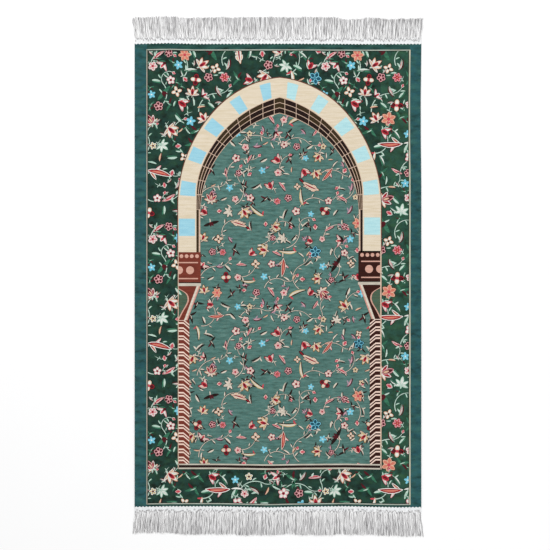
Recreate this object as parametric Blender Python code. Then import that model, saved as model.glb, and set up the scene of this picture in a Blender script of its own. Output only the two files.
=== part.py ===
"""Woven prayer rug: one flat patterned body with a white warp fringe along each end.

The rug lies flat on Z = 0 with its arch end towards +Y. The origin is below the middle of
the whole rug, fringes included. All sizes are in metres.
"""

import random
from typing import NamedTuple

import bpy

# Body: a common small prayer size, 27 by 43 inches.
BODY_WIDTH = 0.680
BODY_LENGTH = 1.100
BODY_THICKNESS = 0.003

# Fringe: each end is one comb, a ribbed heading with bunches of warp ends standing out of it.
FRINGE_THICKNESS = 0.002
SEAM_GAP = 0.0003
HEADING_DEPTH = 0.013
BUNCH_COUNT = 46
SLIT_WIDTH = 0.0016
FLARE = 0.006
TIP_SHARE = 0.80
TIP_CROWN = 0.0015
TIP_STRAY = 0.0007
REACH_STRAY = 0.0016
FRINGE_SEED = 11

# Colours of the finished cloth, with its roughness.
PILE_COLOUR = (0.055, 0.125, 0.115, 1.0)
PILE_ROUGHNESS = 0.95
COTTON_COLOUR = (0.78, 0.77, 0.74, 1.0)
COTTON_ROUGHNESS = 0.90


class Stray(NamedTuple):
    """How far an edge lies from its straight line, at one place along it."""

    along: float  # share of the edge, from its left or lower end
    out: float  # metres outwards


class Reach(NamedTuple):
    """How far the fringe stands out of the body at one place along its end."""

    along: float  # share of the end, from its left
    length: float  # metres from the body's straight end line


TOP_EDGE = (
    Stray(0.00, -0.0003),
    Stray(0.12, 0.0017),
    Stray(0.21, -0.0002),
    Stray(0.56, 0.0003),
    Stray(0.78, -0.0008),
    Stray(1.00, -0.0004),
)
BOTTOM_EDGE = (
    Stray(0.00, 0.0002),
    Stray(0.12, -0.0010),
    Stray(0.30, -0.0010),
    Stray(0.47, 0.0017),
    Stray(0.56, 0.0000),
    Stray(0.73, -0.0012),
    Stray(0.91, 0.0014),
    Stray(1.00, 0.0010),
)
LEFT_EDGE = (
    Stray(0.00, 0.0000),
    Stray(1.00, 0.0000),
)
RIGHT_EDGE = (
    Stray(0.00, 0.0000),
    Stray(0.70, 0.0000),
    Stray(0.79, -0.0012),
    Stray(0.88, -0.0014),
    Stray(0.97, -0.0002),
    Stray(1.00, 0.0000),
)

TOP_REACH = (
    Reach(0.00, 0.062),
    Reach(0.17, 0.064),
    Reach(0.19, 0.058),
    Reach(0.22, 0.064),
    Reach(0.70, 0.063),
    Reach(0.75, 0.059),
    Reach(0.80, 0.063),
    Reach(0.86, 0.059),
    Reach(1.00, 0.062),
)
BOTTOM_REACH = (
    Reach(0.00, 0.065),
    Reach(0.13, 0.063),
    Reach(0.17, 0.067),
    Reach(0.50, 0.069),
    Reach(0.53, 0.065),
    Reach(0.60, 0.070),
    Reach(0.80, 0.068),
    Reach(1.00, 0.072),
)


def read_table(rows, along):
    """Return the second column of a table at a share along it, straight between its rows."""
    for low, high in zip(rows, rows[1:]):
        if along <= high[0]:
            share = (along - low[0]) / (high[0] - low[0])
            return low[1] + share * (high[1] - low[1])
    return rows[-1][1]


def end_line(rows, gap):
    """Return an end of the body, left to right, as points (x, distance out of the end line)."""
    return [((row.along - 0.5) * BODY_WIDTH, row.out + gap) for row in rows]


def body_outline():
    """Return the body's outline, anticlockwise from its lower left corner, about its middle."""
    half_width = BODY_WIDTH / 2
    half_length = BODY_LENGTH / 2
    bottom = [(x, -half_length - out) for x, out in end_line(BOTTOM_EDGE, 0.0)]
    top = [(x, half_length + out) for x, out in end_line(TOP_EDGE, 0.0)]
    right = [(half_width + row.out, (row.along - 0.5) * BODY_LENGTH) for row in RIGHT_EDGE[1:-1]]
    left = [(-half_width - row.out, (row.along - 0.5) * BODY_LENGTH) for row in LEFT_EDGE[1:-1]]
    return bottom + right + top[::-1] + left[::-1]


def comb_outline(edge_rows, reach_rows, rng):
    """Return one fringe as a comb outline, as points (x, distance out of the body's end line).

    The heading follows the body's end a seam gap away. Each bunch narrows to its tip, leans
    outwards towards the rug's sides, and ends a little longer or shorter than the next.
    """
    pitch = BODY_WIDTH / BUNCH_COUNT
    points = end_line(edge_rows, SEAM_GAP)
    for bunch in reversed(range(BUNCH_COUNT)):
        along = (bunch + 0.5) / BUNCH_COUNT
        middle = (along - 0.5) * BODY_WIDTH
        root = (pitch - SLIT_WIDTH) / 2
        tip = root * TIP_SHARE
        lean = (2 * along - 1) * (FLARE + root - tip) + rng.uniform(-TIP_STRAY, TIP_STRAY)
        length = read_table(reach_rows, along) + rng.uniform(-REACH_STRAY, REACH_STRAY)
        points.append((middle + root, HEADING_DEPTH))
        points.append((middle + lean + tip, length - TIP_CROWN))
        points.append((middle + lean, length))
        points.append((middle + lean - tip, length - TIP_CROWN))
        points.append((middle - root, HEADING_DEPTH))
    return points


def cloth_material(name, colour, roughness):
    """Return a plain cloth material."""
    material = bpy.data.materials.new(name)
    material.use_nodes = True
    shader = material.node_tree.nodes["Principled BSDF"]
    shader.inputs["Base Color"].default_value = colour
    shader.inputs["Roughness"].default_value = roughness
    shader.inputs["Metallic"].default_value = 0.0
    return material


def middle(values):
    """Return the number halfway between the lowest and the highest."""
    return (min(values) + max(values)) / 2


def flat_piece(name, outline, thickness, place, material, collection):
    """Add one flat piece of cloth, cut to an outline, lying on Z = 0 at a place (x, y)."""
    curve = bpy.data.curves.new(name, "CURVE")
    curve.dimensions = "2D"
    curve.fill_mode = "BOTH"
    curve.extrude = thickness / 2
    spline = curve.splines.new("POLY")
    spline.points.add(len(outline) - 1)
    for point, (x, y) in zip(spline.points, outline):
        point.co = (x, y, 0.0, 1.0)
    spline.use_cyclic_u = True
    curve.materials.append(material)
    piece = bpy.data.objects.new(name, curve)
    piece.location = (*place, thickness / 2)
    collection.objects.link(piece)


def clear_scene():
    """Remove every object that the scene starts with."""
    for old in list(bpy.data.objects):
        bpy.data.objects.remove(old, do_unlink=True)


def main():
    """Build the rug's body and its two fringes."""
    clear_scene()
    collection = bpy.data.collections.new("prayer_rug")
    bpy.context.scene.collection.children.link(collection)

    rng = random.Random(FRINGE_SEED)
    half_length = BODY_LENGTH / 2
    top = [(x, half_length + out) for x, out in comb_outline(TOP_EDGE, TOP_REACH, rng)]
    bottom = [(x, -half_length - out) for x, out in comb_outline(BOTTOM_EDGE, BOTTOM_REACH, rng)]

    # The origin lies below the middle of the fringes' ends.
    ends = top + bottom
    place = (-middle([x for x, _ in ends]), -middle([y for _, y in ends]))

    pile = cloth_material("chenille_pile", PILE_COLOUR, PILE_ROUGHNESS)
    cotton = cloth_material("cotton_fringe", COTTON_COLOUR, COTTON_ROUGHNESS)
    flat_piece("rug_body", body_outline(), BODY_THICKNESS, place, pile, collection)
    flat_piece("fringe_top", top, FRINGE_THICKNESS, place, cotton, collection)
    flat_piece("fringe_bottom", bottom, FRINGE_THICKNESS, place, cotton, collection)


main()
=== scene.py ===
"""Woven prayer rug: a teal chenille cloth with an arched niche, flowers, and a white fringe at each end.

The pattern is drawn in millimetres from the middle of the woven body, with X to the right and Y
towards the arch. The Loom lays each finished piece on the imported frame, in metres, and lets it follow
the slightly wandering edges of the body.
"""

import logging
import math
import random
from collections.abc import Callable, Iterable, Sequence
from dataclasses import dataclass, field
from enum import Enum
from typing import NamedTuple

import bmesh
import bpy
from mathutils import Matrix, Vector, noise


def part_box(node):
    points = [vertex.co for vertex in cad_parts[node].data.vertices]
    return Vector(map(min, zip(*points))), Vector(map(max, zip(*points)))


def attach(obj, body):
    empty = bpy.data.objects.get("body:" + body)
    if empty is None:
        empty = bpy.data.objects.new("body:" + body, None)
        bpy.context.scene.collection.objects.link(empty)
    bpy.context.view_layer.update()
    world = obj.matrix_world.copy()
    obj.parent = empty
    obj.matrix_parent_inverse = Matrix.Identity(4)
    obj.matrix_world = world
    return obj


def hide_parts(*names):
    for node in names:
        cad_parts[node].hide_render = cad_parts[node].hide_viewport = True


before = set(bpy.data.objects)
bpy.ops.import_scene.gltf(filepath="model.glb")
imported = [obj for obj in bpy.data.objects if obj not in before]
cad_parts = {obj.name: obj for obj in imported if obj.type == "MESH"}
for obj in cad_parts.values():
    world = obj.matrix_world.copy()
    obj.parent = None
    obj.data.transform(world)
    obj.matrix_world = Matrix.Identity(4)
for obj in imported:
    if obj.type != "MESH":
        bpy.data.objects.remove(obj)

LOG = logging.getLogger("prayer_rug")
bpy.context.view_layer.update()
MM = 0.001
BODY = "rug_body"
SHARP_ANGLE = 50.0  # degrees, past which an edge of a smooth piece stays sharp

Point = tuple[float, float]
Place = Callable[[float, float], Point]
Colour = tuple[float, float, float, float]
Socket = bpy.types.NodeSocket
Cloth = bmesh.types.BMesh
Corner = bmesh.types.BMVert
Solid = bpy.types.Object


# ------------------------ yarns and their materials


@dataclass(frozen=True)
class Yarn:
    """One dyed yarn."""

    colour: str  # the yarn's main colour, as a hex string
    drift: str  # the colour that it wanders to along the weft
    tint: str = ""  # a third colour, in short streaks, or none
    fleck: float = 0.20  # how deep the pile's small dark flecks are, from 0 to 1: painted shade of the hollows between tufts
    rib: float = 0.10  # how deep the painted shade between two weft rows is, from 0 to 1
    roughness: float = 0.84  # the middle of its roughness
    streak_length: float = 24.0  # length of a dye streak along the weft, in millimetres
    streak_height: float = 4.0  # height of a dye streak, in millimetres


class Dye(Enum):
    """The yarns that the rug is woven from."""

    TEAL_SIDE = Yarn("#3a6d67", "#1a3e3d", "#2b6069", fleck=0.30, streak_length=34.0, streak_height=13.0)
    TEAL_END = Yarn("#37665a", "#0f2b23", "#234f4d", fleck=0.30, streak_length=34.0, streak_height=8.0)
    BORDER_GROUND = Yarn("#2b503b", "#0c180f", "#204740", fleck=0.38, streak_length=26.0, streak_height=18.0)
    BORDER_RIGHT = Yarn("#366145", "#1a3324", "#2c584d", fleck=0.34, streak_length=26.0, streak_height=18.0)
    FIELD_GROUND = Yarn("#6c9289", "#3f5e56", "#507f79", fleck=0.34, streak_length=24.0, streak_height=5.0)
    HOLLOW_GROUND = Yarn("#4a6c5a", "#3a5547", "#5c6a50", fleck=0.25)
    CREAM = Yarn("#e6dccd", "#d2c5b3")
    WHITE = Yarn("#f3f3ec", "#d8e0d6")
    BEIGE = Yarn("#e4d7c2", "#d9caaf", fleck=0.08, rib=0.04, streak_length=40.0)
    SKY = Yarn("#a3d5e3", "#93cadd", fleck=0.08, rib=0.04, streak_length=30.0)
    PALE_SKY = Yarn("#bbe3e6", "#abd8df", fleck=0.08, rib=0.04, streak_length=30.0)
    BRIGHT_SKY = Yarn("#8ad4e6", "#6cc0d8")
    DARK_TEAL = Yarn("#1f5c70", "#184a5c")
    LILAC = Yarn("#b7a0b0", "#988393")
    PINK = Yarn("#e8b2b2", "#d8969a")
    ROSE = Yarn("#d45560", "#b83c48")
    RED = Yarn("#ac2431", "#8c1722")
    MAROON = Yarn("#5e1420", "#460e16")
    CORAL = Yarn("#e28c78", "#d07662")
    PEACH = Yarn("#e8c2a6", "#d8ac8e")
    YELLOW = Yarn("#d9bd84", "#c6a86c")
    MINT = Yarn("#d2e4d8", "#a9cbb9")
    LEAF_GREEN = Yarn("#3f7f62", "#2c6049")
    DEEP_GREEN = Yarn("#12241b", "#0d1b14")
    DARK_BROWN = Yarn("#26120c", "#1a0b07")
    OLIVE = Yarn("#3f301b", "#32250f")
    MORTAR = Yarn("#dcc2ac", "#cbac96", fleck=0.12)
    OUTLINE = Yarn("#7c4a3a", "#64392c", fleck=0.18)
    RUST = Yarn("#80392b", "#6e2f23", fleck=0.18)
    DARK_RUST = Yarn("#3c150b", "#2d0e07", fleck=0.18)
    STRIPE = Yarn("#fae1d2", "#eecfbd", fleck=0.10)
    DOT = Yarn("#ddb09f", "#ce9d8b", fleck=0.14)
    BLUSH = Yarn("#d9a294", "#cb9184", fleck=0.12)
    GREY_LINE = Yarn("#d2ccbe", "#bcb4a4", fleck=0.12)
    FRAME_LEFT = Yarn("#c2b4a4", "#a5a392", fleck=0.12, streak_length=5.0, streak_height=18.0)
    FRAME_RIGHT = Yarn("#cfcab4", "#b6b8a2", fleck=0.12, streak_length=5.0, streak_height=18.0)
    FRAME_END = Yarn("#b9c6bb", "#a9aa9c", fleck=0.12, streak_length=18.0)


DYES = list(Dye)


def dyed(text: str, strength: float = 1.0) -> Colour:
    """Turns a hex colour into a linear one.

    Args:
        text: The colour, such as "#2f5e5b".
        strength: What the linear colour is multiplied by.

    Returns:
        Red, green, blue and an alpha of 1.
    """
    parts = [int(text[start : start + 2], 16) / 255 for start in (1, 3, 5)]
    linear = [part / 12.92 if part <= 0.04045 else ((part + 0.055) / 1.055) ** 2.4 for part in parts]
    return (*[part * strength for part in linear], 1.0)


@dataclass
class Wiring:
    """A node tree with short calls for adding and joining nodes."""

    tree: bpy.types.NodeTree

    def add(self, kind: str, **settings: object) -> bpy.types.Node:
        """Adds a node and sets its own properties.

        Args:
            kind: The node's type.
            settings: Its properties by name.

        Returns:
            The node.
        """
        node = self.tree.nodes.new(kind)
        for name, value in settings.items():
            setattr(node, name, value)
        return node

    def feed(self, socket: Socket, value: object) -> None:
        """Links a socket to another, or sets it to a plain value.

        Args:
            socket: The socket that is fed.
            value: The other socket, or the value.
        """
        if isinstance(value, Socket):
            self.tree.links.new(value, socket)
        else:
            socket.default_value = value

    def sum(self, operation: str, *values: object, clamp: bool = False) -> Socket:
        """Adds a Math node over the values.

        Args:
            operation: What the node does.
            values: Its inputs, each a socket or a number.
            clamp: Whether the result is kept between 0 and 1.

        Returns:
            The node's output.
        """
        node = self.add("ShaderNodeMath", operation=operation, use_clamp=clamp)
        for socket, value in zip(node.inputs, values):
            self.feed(socket, value)
        return node.outputs[0]

    def scaled(self, value: object, factor: object, offset: object) -> Socket:
        """Multiplies a value, adds to it, and keeps the result between 0 and 1."""
        return self.sum("MULTIPLY_ADD", value, factor, offset, clamp=True)

    def blend(self, factor: object, first: object, second: object) -> Socket:
        """Mixes two colours.

        Args:
            factor: The share of the second colour.
            first: The first colour.
            second: The second colour.

        Returns:
            The mixed colour.
        """
        node = self.add("ShaderNodeMix", data_type="RGBA")
        colours = [socket for socket in node.inputs if socket.type == "RGBA"]
        self.feed(node.inputs["Factor"], factor)
        self.feed(colours[0], first)
        self.feed(colours[1], second)
        return next(socket for socket in node.outputs if socket.type == "RGBA")

    def cloud(self, vector: object, scale: float, detail: float = 2.0) -> Socket:
        """Adds a noise texture.

        Args:
            vector: The place that it is read at.
            scale: How many clouds there are in a unit of length.
            detail: How many finer clouds are added to them.

        Returns:
            Its factor.
        """
        node = self.add("ShaderNodeTexNoise")
        self.feed(node.inputs["Vector"], vector)
        self.feed(node.inputs["Scale"], scale)
        self.feed(node.inputs["Detail"], detail)
        return node.outputs[0]

    def moved(self, operation: str, vector: object, *by: object) -> Socket:
        """Adds a vector to a place, or divides it by one.

        Args:
            operation: What is done, such as "DIVIDE".
            vector: The place on the piece.
            by: The X, Y and Z of the vector, each a socket or a number.

        Returns:
            The new place.
        """
        sizes = self.add("ShaderNodeCombineXYZ")
        for socket, value in zip(sizes.inputs, by):
            self.feed(socket, value)
        node = self.add("ShaderNodeVectorMath", operation=operation)
        self.feed(node.inputs[0], vector)
        self.feed(node.inputs[1], sizes.outputs[0])
        return node.outputs[0]

    def split(self, vector: object) -> bpy.types.NodeOutputs:
        """Splits a place into its X, Y and Z.

        Args:
            vector: The place.

        Returns:
            The sockets by axis.
        """
        node = self.add("ShaderNodeSeparateXYZ")
        self.feed(node.inputs[0], vector)
        return node.outputs


def new_group(name: str, inputs: dict[str, str], outputs: Iterable[str]) -> tuple[Wiring, dict, dict]:
    """Starts a shader node group.

    Args:
        name: The group's name.
        inputs: Each input's name and socket type.
        outputs: The names of its outputs, which are all numbers.

    Returns:
        Its wiring, its input sockets by name, and its output sockets by name.
    """
    tree = bpy.data.node_groups.new(name, "ShaderNodeTree")
    for label, kind in inputs.items():
        tree.interface.new_socket(name=label, in_out="INPUT", socket_type=kind)
    for label in outputs:
        tree.interface.new_socket(name=label, in_out="OUTPUT", socket_type="NodeSocketFloat")
    wiring = Wiring(tree)
    entry = wiring.add("NodeGroupInput")
    leave = wiring.add("NodeGroupOutput")
    return wiring, dict(entry.outputs.items()), dict(leave.inputs.items())


def weft_rib_group() -> bpy.types.NodeTree:
    """Builds the rows of weft: a rounded rib across the rug, uneven along each row.

    Returns:
        The group, which takes a place and the pitch of the rows, in metres.
    """
    run, depth = 0.004, 0.01  # metres over which a row changes, along it and through the cloth
    swing, least = 0.7, 0.3  # how uneven a row is, and how high its lowest stretch
    inputs = {"Vector": "NodeSocketVector", "Pitch": "NodeSocketFloat"}
    wiring, given, made = new_group("weft_ribs", inputs, ("Height",))
    rows = wiring.sum("DIVIDE", wiring.split(given["Vector"])["Y"], given["Pitch"])
    wave = wiring.sum("COSINE", wiring.sum("MULTIPLY", rows, math.tau))
    rib = wiring.sum("MULTIPLY_ADD", wave, 0.5, 0.5)
    along = wiring.moved("DIVIDE", given["Vector"], run, given["Pitch"], depth)
    uneven = wiring.sum("MULTIPLY_ADD", wiring.cloud(along, 1.0), swing, least)
    wiring.feed(made["Height"], wiring.sum("MULTIPLY", rib, uneven, clamp=True))
    return wiring.tree


def dye_streak_group() -> bpy.types.NodeTree:
    """Builds the streaks of uneven dye that run along the weft.

    Returns:
        The group, which takes a place and a streak's length and width, in metres.
    """
    depth = 0.05  # metres over which a streak changes through the cloth
    contrast, offset = 3.2, -1.1
    inputs = {"Vector": "NodeSocketVector", "Length": "NodeSocketFloat", "Width": "NodeSocketFloat"}
    wiring, given, made = new_group("dye_streaks", inputs, ("Streak",))
    place = wiring.moved("DIVIDE", given["Vector"], given["Length"], given["Width"], depth)
    wiring.feed(made["Streak"], wiring.scaled(wiring.cloud(place, 1.0, 3.0), contrast, offset))
    return wiring.tree


def pile_fleck_group() -> bpy.types.NodeTree:
    """Builds the small flecks of chenille tufts.

    Returns:
        The group, which takes a place and a fleck's size, in metres.
    """
    contrast, offset = 3.0, -1.0
    inputs = {"Vector": "NodeSocketVector", "Size": "NodeSocketFloat"}
    wiring, given, made = new_group("pile_flecks", inputs, ("Fleck",))
    place = wiring.moved("DIVIDE", given["Vector"], given["Size"], given["Size"], given["Size"])
    wiring.feed(made["Fleck"], wiring.scaled(wiring.cloud(place, 1.0, 3.0), contrast, offset))
    return wiring.tree


def ply_twist_group() -> bpy.types.NodeTree:
    """Builds the slanting plies of the twisted cotton ends.

    Returns:
        The group, which takes a place and the length of one turn of the plies, in metres.
    """
    inputs = {"Vector": "NodeSocketVector", "Lay": "NodeSocketFloat"}
    wiring, given, made = new_group("ply_twist", inputs, ("Ply",))
    axes = wiring.split(given["Vector"])
    slant = wiring.sum("ADD", axes["Y"], axes["X"])
    turns = wiring.sum("MULTIPLY", wiring.sum("DIVIDE", slant, given["Lay"]), math.tau)
    wiring.feed(made["Ply"], wiring.sum("MULTIPLY_ADD", wiring.sum("SINE", turns), 0.5, 0.5))
    return wiring.tree


@dataclass
class Dyehouse:
    """Makes each yarn's material once, from shared node groups."""

    exposure: float = 0.92  # what each pile colour is multiplied by
    row_pitch: float = 0.00130  # distance between two weft rows, in metres
    fleck_size: float = 0.0011  # size of a chenille tuft, in metres
    tint_shift: float = 3.1  # how far the streaks of a third colour lie from the others, in metres
    tint_length: float = 0.45  # their length, as a share of the others'
    tint_height: float = 0.7  # their height, as a share of the others'
    tint_strength: float = 0.8  # how much of the third colour they show, from 0 to 1
    shade: float = 0.45  # how bright the painted shade of a hollow between tufts is, as a share of the drift colour
    pile_relief: float = 0.0003  # depth of the pile's relief, in metres
    cotton_relief: float = 0.00025  # depth of the cotton's relief, in metres
    cotton_fleck: float = 0.0009  # size of a cotton fibre's fleck, in metres
    cotton_streak: Point = (0.004, 0.030)  # length and width of a streak in the cotton, in metres
    groups: dict[str, bpy.types.NodeTree] = field(default_factory=dict)
    made: dict[str, bpy.types.Material] = field(default_factory=dict)

    def __post_init__(self) -> None:
        """Builds the node groups."""
        for build in (weft_rib_group, dye_streak_group, pile_fleck_group, ply_twist_group):
            tree = build()
            self.groups[tree.name] = tree

    def start(self, name: str, **plain: float) -> tuple[bpy.types.Material, Wiring, bpy.types.Node, Socket]:
        """Starts a material.

        Args:
            name: The material's name.
            plain: Values of the shader that are the same all over, by name with _ for a space.

        Returns:
            The material, its wiring, its Principled shader, and the socket with the place on the piece.
        """
        material = bpy.data.materials.new(name)
        material.use_nodes = True
        wiring = Wiring(material.node_tree)
        shader = material.node_tree.nodes["Principled BSDF"]
        for label, value in plain.items():
            shader.inputs[label.replace("_", " ")].default_value = value
        place = wiring.add("ShaderNodeTexCoord").outputs["Object"]
        self.made[name] = material
        return material, wiring, shader, place

    def effect(self, wiring: Wiring, name: str, **inputs: object) -> Socket:
        """Places a shared group in a material.

        Args:
            wiring: The material's wiring.
            name: The group's name.
            inputs: What its inputs are fed.

        Returns:
            Its only output.
        """
        node = wiring.add("ShaderNodeGroup", node_tree=self.groups[name])
        for label, value in inputs.items():
            wiring.feed(node.inputs[label], value)
        return node.outputs[0]

    def streaks(self, wiring: Wiring, place: object, length: float, height: float) -> Socket:
        """Places streaks of a length and a height, in millimetres, in a material."""
        return self.effect(wiring, "dye_streaks", Vector=place, Length=length * MM, Width=height * MM)

    def relief(self, wiring: Wiring, shader: bpy.types.Node, height: object, depth: float) -> None:
        """Feeds a bump to the shader.

        Args:
            wiring: The material's wiring.
            shader: Its Principled shader.
            height: The height over the surface, from 0 to about 1.
            depth: What a height of 1 stands for, in metres.
        """
        bump = wiring.add("ShaderNodeBump")
        bump.inputs["Strength"].default_value = 0.6
        bump.inputs["Distance"].default_value = depth
        wiring.feed(bump.inputs["Height"], height)
        wiring.feed(shader.inputs["Normal"], bump.outputs[0])

    def pile(self, dye: Dye) -> bpy.types.Material:
        """Makes or finds the material of one dyed chenille yarn.

        Args:
            dye: The yarn.

        Returns:
            Its material.
        """
        name = f"chenille_{dye.name.lower()}"
        if name in self.made:
            return self.made[name]
        yarn = dye.value
        material, wiring, shader, place = self.start(
            name, Specular_IOR_Level=0.18, Sheen_Weight=0.05, Sheen_Roughness=0.5
        )
        streak = self.streaks(wiring, place, yarn.streak_length, yarn.streak_height)
        rib = self.effect(wiring, "weft_ribs", Vector=place, Pitch=self.row_pitch)
        fleck = self.effect(wiring, "pile_flecks", Vector=place, Size=self.fleck_size)
        colour = wiring.blend(streak, dyed(yarn.colour, self.exposure), dyed(yarn.drift, self.exposure))
        if yarn.tint:
            length, height = yarn.streak_length * self.tint_length, yarn.streak_height * self.tint_height
            aside = wiring.moved("ADD", place, self.tint_shift, self.tint_shift, 0.0)
            short = self.streaks(wiring, aside, length, height)
            share = wiring.sum("MULTIPLY", short, self.tint_strength)
            colour = wiring.blend(share, colour, dyed(yarn.tint, self.exposure))
        # Painted shade: the hollows between tufts are mixed towards the drift colour, dimmed.
        dark = dyed(yarn.drift, self.exposure * self.shade)
        colour = wiring.blend(wiring.sum("MULTIPLY", fleck, yarn.fleck), colour, dark)
        # Painted shade in the hollow between two weft rows.
        hollow = wiring.sum("SUBTRACT", 1.0, rib)
        colour = wiring.blend(wiring.sum("MULTIPLY", hollow, yarn.rib), colour, dark)
        swing = 0.12
        roughness = wiring.sum("MULTIPLY_ADD", fleck, swing, yarn.roughness - swing / 2)
        wiring.feed(shader.inputs["Base Color"], colour)
        wiring.feed(shader.inputs["Roughness"], roughness)
        height = wiring.sum("MULTIPLY_ADD", fleck, 0.6, wiring.sum("MULTIPLY", rib, 0.7))
        self.relief(wiring, shader, height, self.pile_relief)
        return material

    def cotton(self, name: str, colour: str, shade: str, lay: float) -> bpy.types.Material:
        """Makes the material of the undyed cotton ends.

        Args:
            name: The material's name.
            colour: The yarn's main colour.
            shade: Its colour between the plies, which is painted shade there; it is also mixed in along
                streaks, partly as uneven cotton and partly as painted shade between the ends.
            lay: Length of one turn of the plies, in metres.

        Returns:
            The material.
        """
        material, wiring, shader, place = self.start(name, Specular_IOR_Level=0.2, Sheen_Weight=0.08)
        length, width = self.cotton_streak
        ply = self.effect(wiring, "ply_twist", Vector=place, Lay=lay)
        fleck = self.effect(wiring, "pile_flecks", Vector=place, Size=self.cotton_fleck)
        streak = self.effect(wiring, "dye_streaks", Vector=place, Length=length, Width=width)
        # Streaks towards the shade colour: partly uneven cotton, partly painted shade between the ends.
        mixed = wiring.blend(wiring.sum("MULTIPLY", streak, 0.7), dyed(colour), dyed(shade))
        # Painted shade in the grooves between the plies.
        hollow = wiring.sum("MULTIPLY", wiring.sum("SUBTRACT", 1.0, ply), 0.22)
        wiring.feed(shader.inputs["Base Color"], wiring.blend(hollow, mixed, dyed(shade, 0.6)))
        wiring.feed(shader.inputs["Roughness"], wiring.sum("MULTIPLY_ADD", fleck, 0.14, 0.78))
        self.relief(wiring, shader, wiring.sum("MULTIPLY_ADD", fleck, 0.4, ply), self.cotton_relief)
        return material


# ------------------------ the body that all is laid on


@dataclass(frozen=True)
class EdgeRun:
    """How far one edge of the body strays from its straight line, in millimetres."""

    places: tuple[Point, ...]

    def at(self, along: float) -> float:
        """Reads the stray at a place along the edge.

        Args:
            along: Millimetres along the edge, from the body's middle.

        Returns:
            Millimetres outwards.
        """
        for (low, start), (high, end) in zip(self.places, self.places[1:]):
            if along <= high:
                share = min(1.0, max(0.0, (along - low) / max(high - low, 1e-6)))
                return start + share * (end - start)
        return self.places[-1][1]


@dataclass
class Loom:
    """The woven body, in millimetres from its middle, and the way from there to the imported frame."""

    width: float = 680.0
    length: float = 1100.0
    search: float = 6.0  # how far inside a straight edge the outline's corners may lie
    middle: Vector = field(init=False)
    top: float = field(init=False)
    right: EdgeRun = field(init=False)
    far: EdgeRun = field(init=False)  # the run of its arch end
    near: EdgeRun = field(init=False)  # the run of its foot end

    def __post_init__(self) -> None:
        """Reads the body's place and its edges from the frame."""
        low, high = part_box(BODY)
        self.middle = Vector(((low[0] + high[0]) / 2, (low[1] + high[1]) / 2, 0.0))
        self.top = high[2] / MM
        corners = [(vert.co - self.middle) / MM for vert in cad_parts[BODY].data.vertices]
        self.right = self.edge(corners, 0, 1, self.width / 2)
        self.far = self.edge(corners, 1, 0, self.length / 2)
        self.near = self.edge([-corner for corner in corners], 1, 0, self.length / 2)
        self.near = EdgeRun(tuple((-along, out) for along, out in reversed(self.near.places)))

    def edge(self, corners: Sequence[Vector], across: int, along: int, line: float) -> EdgeRun:
        """Reads one edge of the body's outline.

        Args:
            corners: The outline's corners, in millimetres.
            across: The axis that the edge faces.
            along: The axis that the edge runs along.
            line: How far the straight edge is from the middle.

        Returns:
            The edge's run.
        """
        near = [corner for corner in corners if corner[across] > line - self.search]
        places = {(round(corner[along], 2), round(corner[across] - line, 3)) for corner in near}
        return EdgeRun(tuple(sorted(places)))

    def lie(self, x: float, y: float) -> Point:
        """Moves a place of the drawing to where the cloth really lies.

        Args:
            x: Its X.
            y: Its Y.

        Returns:
            The moved place.
        """
        end = self.far.at(x) if y > 0 else -self.near.at(x)
        side = self.right.at(y) if x > 0 else 0.0
        return x + side * (2 * x / self.width) ** 2, y + end * (2 * y / self.length) ** 2

    def settle(self, cloth: Cloth) -> None:
        """Moves a finished piece from the drawing to the frame, in metres.

        Args:
            cloth: The piece's mesh, in millimetres.
        """
        for vert in cloth.verts:
            x, y = self.lie(vert.co.x, vert.co.y)
            vert.co = self.middle + Vector((x, y, vert.co.z)) * MM


class Crest(Enum):
    """How far each kind of pattern stands above the cloth, in millimetres."""

    STEM_EDGE = 0.10
    STEM = 0.16
    FLOWER_EDGE = 0.20
    FLOWER = 0.26
    LINE = 0.62
    BAND = 0.68
    MARK = 0.78
    DOT = 0.86


# The bake map: where the face's part starts and how high it is, the same for the sides and the back,
# and the bare rim, all as shares of the map.
FACE_STRIP = (0.0, 0.96)
BACK_STRIP = (0.963, 0.035)
MAP_RIM = 0.001


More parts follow.
